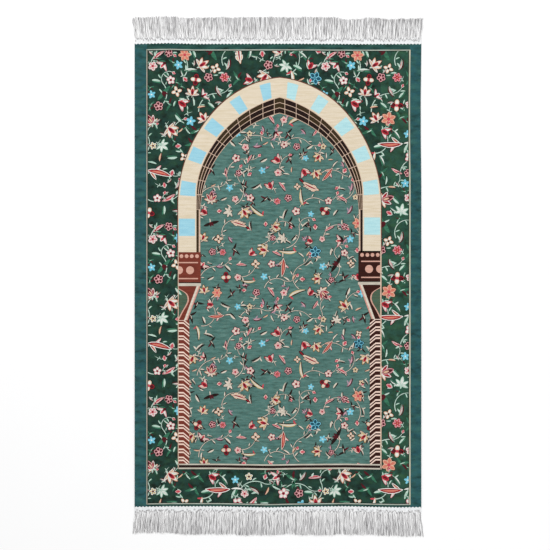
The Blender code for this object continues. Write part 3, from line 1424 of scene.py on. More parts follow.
@dataclass
class PatternBook:
    """Draws each motif once for each ground, as a small mesh that is stamped many times."""

    loom: Loom
    dyehouse: Dyehouse
    short_sides: int = 9  # how many sides a short petal's outline has
    long_sides: int = 14  # how many a long one's has
    long_petal: float = 14.5  # from which length on a petal is a long one, in millimetres
    edge_width: float = 1.1  # width of the line round a motif, in millimetres
    rim_width: float = 1.1  # width of a petal's rim
    rim_share: float = 0.22  # the most of a petal's width that its rim takes
    layer: float = 0.022  # how much higher each petal lies than the one before
    edge_layer: float = 0.002  # the same for the line round the motif
    pages: dict[tuple[Motif, Ground], bpy.types.Mesh] = field(default_factory=dict)

    def outline(self, page: Inlay, petal: Petal, swell: float) -> list[Corner]:
        """Draws a petal's outline.

        Args:
            page: The drawing that it is added to.
            petal: The petal.
            swell: How much larger than the petal it is, in millimetres.

        Returns:
            The outline's corners.
        """
        sides = self.long_sides if petal.long > self.long_petal else self.short_sides
        ring = bmesh.ops.create_circle(page.cloth, cap_ends=True, segments=sides, radius=1.0)["verts"]
        for vert in ring:
            along = (1.0 + vert.co.y) / 2
            side = math.copysign(abs(vert.co.x) ** (1.0 + petal.point), vert.co.x)
            wide = petal.wide / 2 + swell
            vert.co.x = side * wide + petal.bend * along**2
            vert.co.y = along * (petal.long + 2 * swell) - swell
        place = Matrix.Translation((petal.x, petal.y, page.base))
        turn = Matrix.Rotation(math.radians(petal.turn), 4, "Z")
        bmesh.ops.transform(page.cloth, matrix=place @ turn, verts=ring)
        return ring

    def page(self, motif: Motif, ground: Ground) -> bpy.types.Mesh:
        """Draws or finds one motif.

        Args:
            motif: The motif.
            ground: The ground that it lies on.

        Returns:
            Its mesh, about its own middle.
        """
        if (motif, ground) in self.pages:
            return self.pages[motif, ground]
        drawing = motif.value
        page = Inlay(motif.name.lower(), self.loom, self.dyehouse)
        if drawing.edge is not None:
            for step, petal in enumerate(drawing.petals):
                ring = self.outline(page, petal, self.edge_width)
                crest = Crest.FLOWER_EDGE.value + step * self.edge_layer
                page.raise_up(ring, crest, drawing.edge.on(ground))
        for step, petal in enumerate(drawing.petals):
            ring = self.outline(page, petal, 0.0)
            tops = page.raise_up(ring, Crest.FLOWER.value + step * self.layer, petal.tone.on(ground))
            if petal.rim is not None:
                width = min(self.rim_width, self.rim_share * petal.wide)
                rim = bmesh.ops.inset_region(page.cloth, faces=tops, thickness=width, use_even_offset=True)
                for face in rim["faces"]:
                    face.material_index = DYES.index(petal.rim.on(ground))
        mesh = bpy.data.meshes.new(f"page_{motif.name.lower()}_{ground.name.lower()}")
        page.cloth.to_mesh(mesh)
        page.cloth.free()
        self.pages[motif, ground] = mesh
        return mesh

    def close(self) -> None:
        """Throws the drawings away once they are stamped."""
        for mesh in self.pages.values():
            bpy.data.meshes.remove(mesh)
        self.pages.clear()


@dataclass
class Flowerwork(Weaving):
    """The flowers and vines of one ground."""

    ground: Ground
    book: PatternBook
    seed: int
    repeat: float = 410.0  # size of one repeat, in millimetres
    repeats: int = 3
    start: Point = (-420.0, -560.0)  # where the first repeat starts
    margin: float = 3.0  # how far a motif's middle may lie past an edge that covers or trims it
    jitter: float = 5.5  # how far a flower strays from the chart
    sizes: Point = (0.95, 1.28)  # the least and the most that a motif is enlarged
    radius: float = 11.0  # room that a motif needs on its ground
    large_radius: float = 20.0  # room that a large motif needs
    tucked: int = 3  # the most leaves that are tucked in beside a flower
    tuck_reach: Point = (10.0, 14.0)  # the least and the most distance of such a leaf
    # The least and the most that it is turned from its direction, in radians.
    tuck_turn: Point = (-1.9, 0.4)
    tuck_sizes: Point = (0.6, 0.95)
    tuck_radius: float = 9.0
    stem_width: float = 1.6
    stem_shadow: float = 1.5  # how much wider its dark line is
    stem_taper: float = 0.45  # how much narrower it is at its tip, as a share
    stem_step: float = 4.0
    stem_radius: float = 2.0
    leaf_gap: float = 21.0  # distance between two leaflets on a vine
    leaf_reach: float = 6.0  # distance from a vine to its leaflets' middles, and the room that one needs
    leaf_lean: float = 0.7  # how far a leaflet leans towards the vine's tip, in radians
    leaf_stray: float = 0.3  # how far it strays from that, in radians
    leaf_sizes: Point = (0.5, 0.8)
    bud_radius: float = 8.0
    bud_size: float = 0.9

    def holds(self, x: float, y: float, radius: float) -> bool:
        """Tells whether something belongs on this ground.

        Args:
            x: Its middle's X.
            y: Its middle's Y.
            radius: Room that it needs at an edge where nothing trims it.

        Returns:
            Whether it does.
        """
        inside = self.niche.inside(x, y)
        in_field = self.niche.in_field(x, y)
        if self.ground is Ground.FIELD:
            return in_field > -self.margin and inside > radius
        return inside < self.margin and in_field < -radius and self.frame_line.depth(x, y) > -self.margin

    def tiles(self) -> Iterable[Point]:
        """Finds the repeats.

        Yields:
            The lower left corner of each.
        """
        for row in range(self.repeats):
            for column in range(self.repeats):
                yield self.start[0] + column * self.repeat, self.start[1] + row * self.repeat

    def stamp(self, piece: Inlay, motif: Motif, x: float, y: float, turn: float, size: float) -> None:
        """Stamps a motif on the piece, with its middle at (x, y), turned by radians, and enlarged."""
        turned_place = Matrix.Translation((x, y, 0.0)) @ Matrix.Rotation(turn, 4, "Z")
        piece.stamp(self.book.page(motif, self.ground), turned_place @ Matrix.Diagonal((size, size, 1, 1)))

    def plant(self, piece: Inlay) -> int:
        """Stamps the charted flowers, each second row half a cell to the right.

        Args:
            piece: The piece that they are added to.

        Returns:
            How many there are.
        """
        cell = self.repeat / len(FLOWER_CHART)
        planted = 0
        for tile_x, tile_y in self.tiles():
            chance = random.Random(self.seed)
            for row, letters in enumerate(reversed(FLOWER_CHART)):
                for column, letter in enumerate(letters):
                    stray_x, stray_y = chance.uniform(-1, 1), chance.uniform(-1, 1)
                    turn, size = chance.uniform(0, math.tau), chance.uniform(*self.sizes)
                    if letter == ".":
                        continue
                    x = tile_x + (column + 0.25 + 0.5 * (row % 2)) * cell + self.jitter * stray_x
                    y = tile_y + (row + 0.5) * cell + self.jitter * stray_y
                    motif = BY_LETTER[letter]
                    if motif not in LEAVES + LARGE:
                        self.tuck_leaves(piece, x, y, size, chance)
                    if self.holds(x, y, self.large_radius if motif in LARGE else self.radius):
                        self.stamp(piece, motif, x, y, turn, size)
                        planted += 1
        return planted

    def tuck_leaves(self, piece: Inlay, x: float, y: float, size: float, chance: random.Random) -> None:
        """Tucks a few leaves or twigs in beside a flower, or none.

        Args:
            piece: The piece that they are added to.
            x: The flower's X.
            y: Its Y.
            size: How much it is enlarged.
            chance: The draws.
        """
        for _ in range(chance.randint(0, self.tucked)):
            motif = chance.choice(TUCKED)
            angle, distance = chance.uniform(0, math.tau), size * chance.uniform(*self.tuck_reach)
            turn, leaf_size = angle + chance.uniform(*self.tuck_turn), chance.uniform(*self.tuck_sizes)
            at_x, at_y = x - math.sin(angle) * distance, y + math.cos(angle) * distance
            if self.holds(at_x, at_y, self.tuck_radius):
                self.stamp(piece, motif, at_x, at_y, turn, leaf_size)

    def stations(self, vine: Vine, x: float, y: float) -> list[tuple[Vector, Vector]]:
        """Walks along a vine.

        Args:
            vine: The vine.
            x: The left edge of its repeat.
            y: The lower edge of its repeat.

        Returns:
            Places along it, each with the direction to its left.
        """
        place = Vector((x + vine.x, y + vine.y))
        heading = math.radians(vine.heading)
        walked = []
        for radius, sweep in vine.bends:
            steps = max(2, round(radius * math.radians(abs(sweep)) / self.stem_step))
            for _ in range(steps):
                walked.append((place.copy(), Vector((-math.sin(heading), math.cos(heading)))))
                heading += math.radians(sweep) / steps
                stride = radius * math.radians(abs(sweep)) / steps
                place += stride * Vector((math.cos(heading), math.sin(heading)))
        walked.append((place, Vector((-math.sin(heading), math.cos(heading)))))
        return walked

    def ribbon(self, piece: Inlay, run: Sequence[tuple[Vector, Vector]]) -> None:
        """Weaves a stretch of stem: a light line on a dark one, both tapering to the tip.

        Args:
            piece: The piece that it is added to.
            run: The places along it, each with the direction to its left.
        """
        steps = len(run) - 1

        def line(width: float) -> Place:
            """Plans a line along the stem.

            Args:
                width: Its width at its root.

            Returns:
                The function that Inlay.patch takes.
            """

            def place(u: float, v: float) -> Point:
                """Gives the point at a share along the line and a share across it.

                Args:
                    u: The share along it.
                    v: The share across it, from its right.

                Returns:
                    The point.
                """
                point, left = run[round(u * steps)]
                half = width * (1.0 - self.stem_taper * u) / 2
                at = point + left * half * (2 * v - 1)
                return at.x, at.y

            return place

        shadow = line(self.stem_width + self.stem_shadow)
        piece.patch(shadow, SHADOW.on(self.ground), Crest.STEM_EDGE, along=steps)
        piece.patch(line(self.stem_width), LEAF.on(self.ground), Crest.STEM, along=steps)

    def grow(self, piece: Inlay) -> int:
        """Weaves the vines with their leaflets and buds.

        Args:
            piece: The piece that they are added to.

        Returns:
            How many stretches of stem there are.
        """
        stretches = 0
        for tile_x, tile_y in self.tiles():
            chance = random.Random(self.seed + 1)
            for vine in VINES:
                walked = self.stations(vine, tile_x, tile_y)
                run: list[tuple[Vector, Vector]] = []
                for station in [*walked, None]:
                    if station is not None and self.holds(*station[0], self.stem_radius):
                        run.append(station)
                        continue
                    if len(run) > 2:
                        self.ribbon(piece, run)
                        stretches += 1
                    run = []
                self.leaf_out(piece, walked, chance)
        return stretches

    def leaf_out(self, piece: Inlay, walked: Sequence[tuple[Vector, Vector]], chance: random.Random) -> None:
        """Puts leaflets at both sides of a vine and a bud at its tip.

        Args:
            piece: The piece that they are added to.
            walked: The places along the vine, each with the direction to its left.
            chance: The draws.
        """
        every = max(2, round(self.leaf_gap / self.stem_step))
        for index, (place, left) in enumerate(walked[::every][1:]):
            side = 1 if index % 2 else -1
            outwards = math.atan2(left.y * side, left.x * side) - math.pi / 2
            turn = outwards - side * self.leaf_lean + chance.uniform(-self.leaf_stray, self.leaf_stray)
            size = chance.uniform(*self.leaf_sizes)
            at = place + left * side * self.leaf_reach
            if self.holds(*at, self.leaf_reach):
                self.stamp(piece, Motif.LEAFLET, *at, turn, size)
        place, left = walked[-1]
        if self.holds(*place, self.bud_radius):
            self.stamp(piece, Motif.BUD, *place, math.atan2(left.y, left.x) - math.pi, self.bud_size)

    def build(self) -> Solid:
        """Weaves all the flowers of this ground.

        Returns:
            The finished object.
        """
        piece = self.inlay(f"{self.ground.name.lower()}_flowers")
        stretches = self.grow(piece)
        planted = self.plant(piece)
        if self.ground is Ground.BORDER:
            line = self.frame_line
            for x, y, outwards in (
                (line.left, 0.0, (-1.0, 0.0)),
                (line.right, 0.0, (1.0, 0.0)),
                (0.0, line.top, (0.0, 1.0)),
                (0.0, line.foot, (0.0, -1.0)),
            ):
                piece.trim(x, y, outwards)
        LOG.info("%s: %d flowers, %d stretches of stem", piece.name, planted, stretches)
        return piece.finish()


# ------------------------ the arch


class Block(NamedTuple):
    """One blue block of the arch band."""

    centre: float  # millimetres along the band's outer line, from its foot
    length: float
    outer: float  # share of the band's width between its outer line and the block
    inner: float  # share of the band's width between the block and its inner line


@dataclass
class ArchBand(Weaving):
    """The beige band over the niche, with its blue blocks and its thin brown outline."""

    width: float = 46.0
    steps: int = 150
    outline_width: float = 1.8  # width of its outline
    right_rise: float = 3.0  # how much nearer its right foot the blocks on the right lie
    # The blocks of one side, from the foot up.
    blocks: tuple[Block, ...] = (
        Block(59.0, 41.0, 0.05, 0.07),
        Block(153.1, 35.5, 0.09, 0.05),
        Block(240.7, 35.0, 0.13, 0.06),
        Block(324.4, 33.0, 0.134, 0.06),
        Block(412.8, 30.0, 0.19, 0.06),
        Block(497.4, 28.0, 0.17, 0.06),
    )

    def build(self) -> list[Solid]:
        """Weaves the band, its outline and its blocks.

        Returns:
            The band and its blocks.
        """
        ring = ArchRing(self.niche.outer, self.niche.middle, self.niche.axis)
        whole = 2 * self.niche.outer.half_run
        band = self.inlay("arch_band")
        band.patch(ring.stretch(0.0, whole, 0.0, 1.0), Dye.BEIGE, Crest.BAND, along=self.steps, across=4)
        edge = self.outline_width / self.width
        outline = ring.stretch(0.0, whole, -edge, 0.2 * edge)
        band.patch(outline, Dye.OUTLINE, Crest.MARK, along=self.steps)
        blocks = self.inlay("arch_blocks")
        for side in (0, 1):
            for block in self.blocks:
                middle = whole - block.centre - self.right_rise if side else block.centre
                start, end = middle - block.length / 2, middle + block.length / 2
                place = ring.stretch(start, end, block.outer, 1 - block.inner)
                blocks.patch(place, Dye.PALE_SKY if side else Dye.SKY, Crest.MARK, along=6, across=3)
        return [band.finish(), blocks.finish()]


@dataclass
class BrickRing(Weaving):
    """The thin ring of dark bricks inside the arch band, three courses deep."""

    steps: int = 150
    key: float = 13.0  # half the length of the brick at the point, in millimetres
    first: float = 29.0  # length of the brick beside it
    brick: float = 35.5  # length of each other brick
    joint: float = 1.5
    courses: int = 3
    thinnest: float = 0.085  # the most of the ring's width that a joint takes
    least_height: float = 122.0  # height of the lowest joint
    # The shares of the width between which the dark line below the bricks lies.
    leg_line: Point = (0.05, 0.62)
    # The yarns of a brick's courses, for one brick after another.
    yarns: tuple[tuple[Dye, ...], ...] = (
        (Dye.OLIVE, Dye.OLIVE, Dye.DARK_BROWN),
        (Dye.DARK_BROWN, Dye.DARK_BROWN, Dye.DARK_BROWN),
        (Dye.OLIVE, Dye.DARK_BROWN, Dye.DARK_BROWN),
        (Dye.OLIVE, Dye.OLIVE, Dye.DARK_BROWN),
        (Dye.OLIVE, Dye.DARK_BROWN, Dye.DARK_BROWN),
    )

    def build(self) -> Solid:
        """Weaves the ring's mortar and its bricks.

        Returns:
            The finished object.
        """
        ring = ArchRing(self.niche.middle, self.niche.inner, self.niche.axis)
        half = self.niche.middle.half_run
        piece = self.inlay("brick_ring")
        piece.patch(ring.stretch(0.0, 2 * half, 0.0, 1.0), Dye.MORTAR, Crest.LINE, along=self.steps)
        near, far = half - self.key, half + self.key
        joints = [near - self.first, near, far, far + self.first]
        while ring.at(joints[0] - self.brick, 0.0)[1] > self.least_height:
            joints.insert(0, joints[0] - self.brick)
            joints.append(joints[-1] + self.brick)
        for index, (start, end) in enumerate(zip(joints, joints[1:])):
            middle = (start + end) / 2
            yarns = self.yarns[abs(index - len(joints) // 2 + 1) % len(self.yarns)]
            width = self.niche.inner.reach(*self.niche.middle.at(middle))
            gap = min(self.joint / width, self.thinnest)
            course = (1 - gap * (self.courses + 1)) / self.courses
            for row in range(self.courses):
                top = gap + row * (course + gap)
                place = ring.stretch(start + self.joint / 2, end - self.joint / 2, top, top + course)
                piece.patch(place, yarns[row], Crest.BAND, along=6)
        for start, end, dye in ((0.0, joints[0], Dye.OLIVE), (joints[-1], 2 * half, Dye.DARK_BROWN)):
            piece.patch(ring.stretch(start, end, *self.leg_line), dye, Crest.BAND, along=12)
        return piece.finish()


# ------------------------ the columns


class Side(Enum):
    """The left and the right post of the niche."""

    LEFT = -1
    RIGHT = 1

    @property
    def rust(self) -> Dye:
        """The post's ground yarn, which is darker on the right."""
        return Dye.RUST if self is Side.LEFT else Dye.DARK_RUST

    @property
    def rise(self) -> float:
        """How much higher the post is woven than its drawing, in millimetres."""
        return 0.0 if self is Side.LEFT else 3.0

    @property
    def first_stripe(self) -> float:
        """How far above the column's top its first chevron starts, in millimetres."""
        return 21.6 if self is Side.LEFT else 24.0


class CurveRow(NamedTuple):
    """One place on the corbel's hollow edge, in millimetres from the niche's axis."""

    out: float
    y: float


@dataclass
class Post(Weaving):
    """One side's capital, corbel and chevron column, with distances from the niche's axis."""

    side: Side
    dots: tuple[float, ...] = (232.8, 220.4, 208.3, 195.7)  # distance of each small dot from the axis
    dot_y: float = 45.4
    dot_radius: float = 4.5
    big_dots: tuple[float, ...] = (238.5, 212.3)  # distance of each large dot from the axis
    big_dot_y: float = 12.1
    big_dot_radius: float = 9.5
    lines: Point = (30.2, -7.8)  # heights of the two lines on the capital
    line_width: float = 2.9
    line_inset: float = 6.5  # how far from the capital's inner edge they end
    # How far below the capital's foot the grey line starts and ends, and how far it stands out.
    base_line: tuple[float, float, float] = (2.2, 9.0, 1.0)
    dark_line: tuple[float, float, float] = (0.0, 2.4, 0.5)  # the same for the dark line on it
    slant_top: float = 188.2  # distance of the corbel's slanting bar from the axis at its top
    slant_run: float = 30.0  # how much farther out it is at its foot
    slant_widths: Point = (3.2, 8.4)  # how far out of its inner edge its pink part and its cream part reach
    slant_overlap: float = 0.2  # how far the cream part lies on the wedge
    hollow_line: float = 1.6  # half the width of the line along the hollow
    curve_steps: int = 28  # how many steps the wedge has from top to foot
    period: float = 19.2  # distance from one pair of chevron stripes to the next
    stripe: float = 3.5
    stripe_gap: float = 7.1  # distance between the two stripes of a pair
    flat: float = 12.4  # width of a stripe's level part
    drop: float = 11.9  # how far a stripe's slanting part falls
    # Places on the corbel's hollow edge, from the top down.
    curve: tuple[CurveRow, ...] = (
        CurveRow(241.3, -30.6),
        CurveRow(222.1, -42.5),
        CurveRow(216.6, -56.1),
        CurveRow(219.7, -68.2),
        CurveRow(230.2, -86.2),
        CurveRow(240.6, -106.6),
    )

    def x(self, out: float) -> float:
        """Gives a place's X from its distance to the axis."""
        return self.niche.axis + self.side.value * out

    def part(self, name: str) -> Inlay:
        """Starts one of the post's pieces."""
        return self.inlay(f"{name}_{self.side.name.lower()}")

    def bar(
        self, piece: Inlay, outer: float, inner: float, low: float, high: float, dye: Dye, crest: Crest
    ) -> None:
        """Weaves a straight bar between two distances from the axis."""
        left, right = sorted((self.x(outer), self.x(inner)))
        piece.bar(left, low, right, high, dye, crest)

    def hollow(self, y: float) -> float:
        """Gives the corbel's hollow edge at a height, as a smooth curve through its rows.

        Args:
            y: The height.

        Returns:
            Its distance from the axis.
        """
        rows = self.curve
        for index, (high, low) in enumerate(zip(rows, rows[1:])):
            if y >= low.y or low is rows[-1]:
                share = min(1.0, max(0.0, (high.y - y) / (high.y - low.y)))
                before = rows[max(0, index - 1)]
                after = rows[min(len(rows) - 1, index + 2)]
                start = (low.out - before.out) / (before.y - low.y) * (high.y - low.y)
                end = (after.out - high.out) / (high.y - after.y) * (high.y - low.y)
                cube, square = share**3, share**2
                return (
                    (2 * cube - 3 * square + 1) * high.out
                    + (cube - 2 * square + share) * start
                    + (3 * square - 2 * cube) * low.out
                    + (cube - square) * end
                )
        return rows[-1].out

    def build_capital(self) -> Solid:
        """Weaves the capital with its dots and lines.

        Returns:
            The finished object.
        """
        piece = self.part("capital")
        outer, inner = self.niche.outer_edge, self.niche.capital_edge
        top, foot = self.niche.capital_top, self.niche.capital_foot
        self.bar(piece, outer, inner, foot, top, self.side.rust, Crest.BAND)
        for dot in self.dots:
            piece.disc(self.x(dot), self.dot_y, self.dot_radius, Dye.DOT, Crest.MARK)
        for dot in self.big_dots:
            piece.disc(self.x(dot), self.big_dot_y, self.big_dot_radius, Dye.DOT, Crest.MARK)
        for height in self.lines:
            low, high = height - self.line_width / 2, height + self.line_width / 2
            self.bar(piece, outer, inner + self.line_inset, low, high, Dye.DOT, Crest.MARK)
        start, end, out = self.base_line
        self.bar(piece, outer, inner - out, foot - end, foot - start, Dye.GREY_LINE, Crest.MARK)
        start, end, out = self.dark_line
        self.bar(piece, outer, inner - out, foot - end, foot - start, Dye.DARK_BROWN, Crest.BAND)
        piece.trim(self.x(outer), 0.0, (float(self.side.value), 0.0))
        piece.lift(self.side.rise)
        return piece.finish()

    def build_corbel(self) -> Solid:
        """Weaves the corbel: a slanting bar, the hollow wedge behind it, and the line along the hollow.

        Returns:
            The finished object.
        """
        piece = self.part("corbel")
        top, foot = self.niche.capital_foot - self.base_line[1], self.niche.column_top
        rise = self.curve[-1].y
        narrow, wide = self.slant_widths

        def slant(y: float) -> float:
            """Gives the slanting bar's inner edge at a height."""
            return self.slant_top + (top - y) / (top - foot) * self.slant_run

        def between(outer: Callable[[float], float], inner: Callable[[float], float], low: float) -> Place:
            """Gives the place function of a patch between two edges.

            Args:
                outer: The outer edge's distance from the axis at a height.
                inner: The inner edge's.
                low: The height of its foot.

            Returns:
                The function that Inlay.patch takes.
            """

            def place(u: float, v: float) -> Point:
                """Gives the point at a share from the outer edge and a share of the height."""
                y = low + (top - low) * v
                return self.x(outer(y) + u * (inner(y) - outer(y))), y

            return place

        cream = between(lambda y: slant(y) + wide, lambda y: slant(y) + narrow, foot)
        pink = between(lambda y: slant(y) + narrow, slant, foot)
        wedge = between(self.hollow, lambda y: slant(y) + wide - self.slant_overlap, rise)
        line = between(
            lambda y: self.hollow(y) + self.hollow_line, lambda y: self.hollow(y) - self.hollow_line, rise
        )
        piece.patch(cream, Dye.CREAM, Crest.MARK, across=4)
        piece.patch(pink, Dye.BLUSH, Crest.MARK, across=4)
        piece.patch(wedge, self.side.rust, Crest.BAND, across=self.curve_steps)
        piece.patch(line, Dye.DOT, Crest.MARK, across=self.curve_steps)
        piece.trim(self.x(self.niche.outer_edge), 0.0, (float(self.side.value), 0.0))
        piece.lift(self.side.rise)
        return piece.finish()

    def build_column(self) -> Solid:
        """Weaves the column: paired chevron stripes on a rust ground.

        Returns:
            The finished object.
        """
        piece = self.part("column")
        outer, inner = self.niche.outer_edge, self.niche.column_edge
        top, foot = self.niche.column_top + self.side.rise, self.niche.column_foot
        self.bar(piece, outer, inner, foot, top, self.side.rust, Crest.BAND)
        height = self.niche.column_top + self.side.first_stripe
        while height > foot:
            for step in (0.0, self.stripe_gap):
                piece.patch(self.chevron(height - step), Dye.STRIPE, Crest.MARK, along=2)
            height -= self.period
        piece.trim(0.0, top, (0.0, 1.0))
        piece.trim(0.0, foot, (0.0, -1.0))
        return piece.finish()

    def chevron(self, height: float) -> Place:
        """Plans one stripe, level on its outer part and falling to the field.

        Args:
            height: The height of its level part's upper side.

        Returns:
            The function that Inlay.patch takes.
        """
        outer, inner = self.niche.outer_edge, self.niche.column_edge

        def place(u: float, v: float) -> Point:
            """Gives a point of the stripe.

            Args:
                u: The share of the way along it.
                v: The share of its width.

            Returns:
                The point, from the body's middle.
            """
            level, falling = min(1.0, 2 * u), max(0.0, 2 * u - 1)
            out = outer - self.flat * level - (outer - self.flat - inner) * falling
            return self.x(out), height - self.drop * falling - self.stripe * v

        return place

    def build(self) -> list[Solid]:
        """Weaves the whole post."""
        return [self.build_capital(), self.build_corbel(), self.build_column()]


@dataclass
class FrameLines(Weaving):
    """The thin lines round the border, beside the posts and under the field."""

    left_width: float = 2.0  # width of the border's left line, in millimetres
    right_width: float = 3.2
    end_width: float = 2.3
    inner_width: float = 1.4  # width of the dark line inside each
    post_widths: Point = (1.8, 3.0)  # width of the line beside the left post and beside the right one
    post_rise: float = 2.0  # how far above the capitals these lines end
    # Upper side, lower side and yarn of each line under the field.
    strips: tuple[tuple[float, float, Dye], ...] = (
        (-447.4, -450.6, Dye.GREY_LINE),
        (-450.6, -456.6, Dye.DARK_BROWN),
        (-456.6, -460.2, Dye.GREY_LINE),
    )

    def build(self) -> Solid:
        """Weaves all the lines.

        Returns:
            The finished object.
        """
        piece = self.inlay("frame_lines")
        line = self.frame_line
        end, thin = self.end_width / 2, self.inner_width
        sides = (
            (line.left, 1, self.left_width / 2, Dye.FRAME_LEFT),
            (line.right, -1, self.right_width / 2, Dye.FRAME_RIGHT),
        )
        for x, way, side, dye in sides:
            piece.bar(x - side, line.foot - end, x + side, line.top + end, dye, Crest.BAND)
            near, far = sorted((x + way * side, x + way * (side + thin)))
            piece.bar(near, line.foot, far, line.top, Dye.DEEP_GREEN, Crest.LINE)
        for y, way in ((line.foot, 1), (line.top, -1)):
            piece.bar(line.left, y - end, line.right, y + end, Dye.FRAME_END, Crest.LINE)
            near, far = sorted((y + way * end, y + way * (end + thin)))
            piece.bar(line.left, near, line.right, far, Dye.DEEP_GREEN, Crest.LINE)
        left, right = self.niche.axis - self.niche.outer_edge, self.niche.axis + self.niche.outer_edge
        for x, width in zip((left, right), self.post_widths):
            low, high = self.niche.sill, self.niche.capital_top + self.post_rise
            piece.bar(x - width / 2, low, x + width / 2, high, Dye.MORTAR, Crest.DOT)
        for high, low, dye in self.strips:
            piece.bar(left, low, right, high, dye, Crest.DOT if dye is Dye.GREY_LINE else Crest.MARK)
        return piece.finish()


# ------------------------ the fringes


@dataclass(frozen=True)
class Ends:
    """One layer of loose ends."""

    name: str
    count: int
    seed_step: int  # what its seed adds to the fringe's
    radii: Point  # radius of an end at its root and at its tip, in millimetres
    gather: float  # the least and the most that an end leans towards the middle of its rope, as a share
    sweep: float  # how far a rope strays to a side
    short: float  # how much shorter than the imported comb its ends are
    # The least and the most that an end's middle stands up, or none where it lies on the floor.
    rise: Point | None


class Layer(Enum):
    """The ends that lie on the floor, in a grey cotton that paints their shade, and the bright ones on them.
    """

    # The back ends are white cotton given a grey colour: painted shade under the bright ends.
    BACK = Ends("back_ends", 290, 50, (1.25, 1.00), gather=0.3, sweep=2.0, short=1.5, rise=None)
    FRONT = Ends("ends", 300, 0, (0.90, 0.55), gather=1.0, sweep=6.0, short=0.0, rise=(1.4, 3.2))


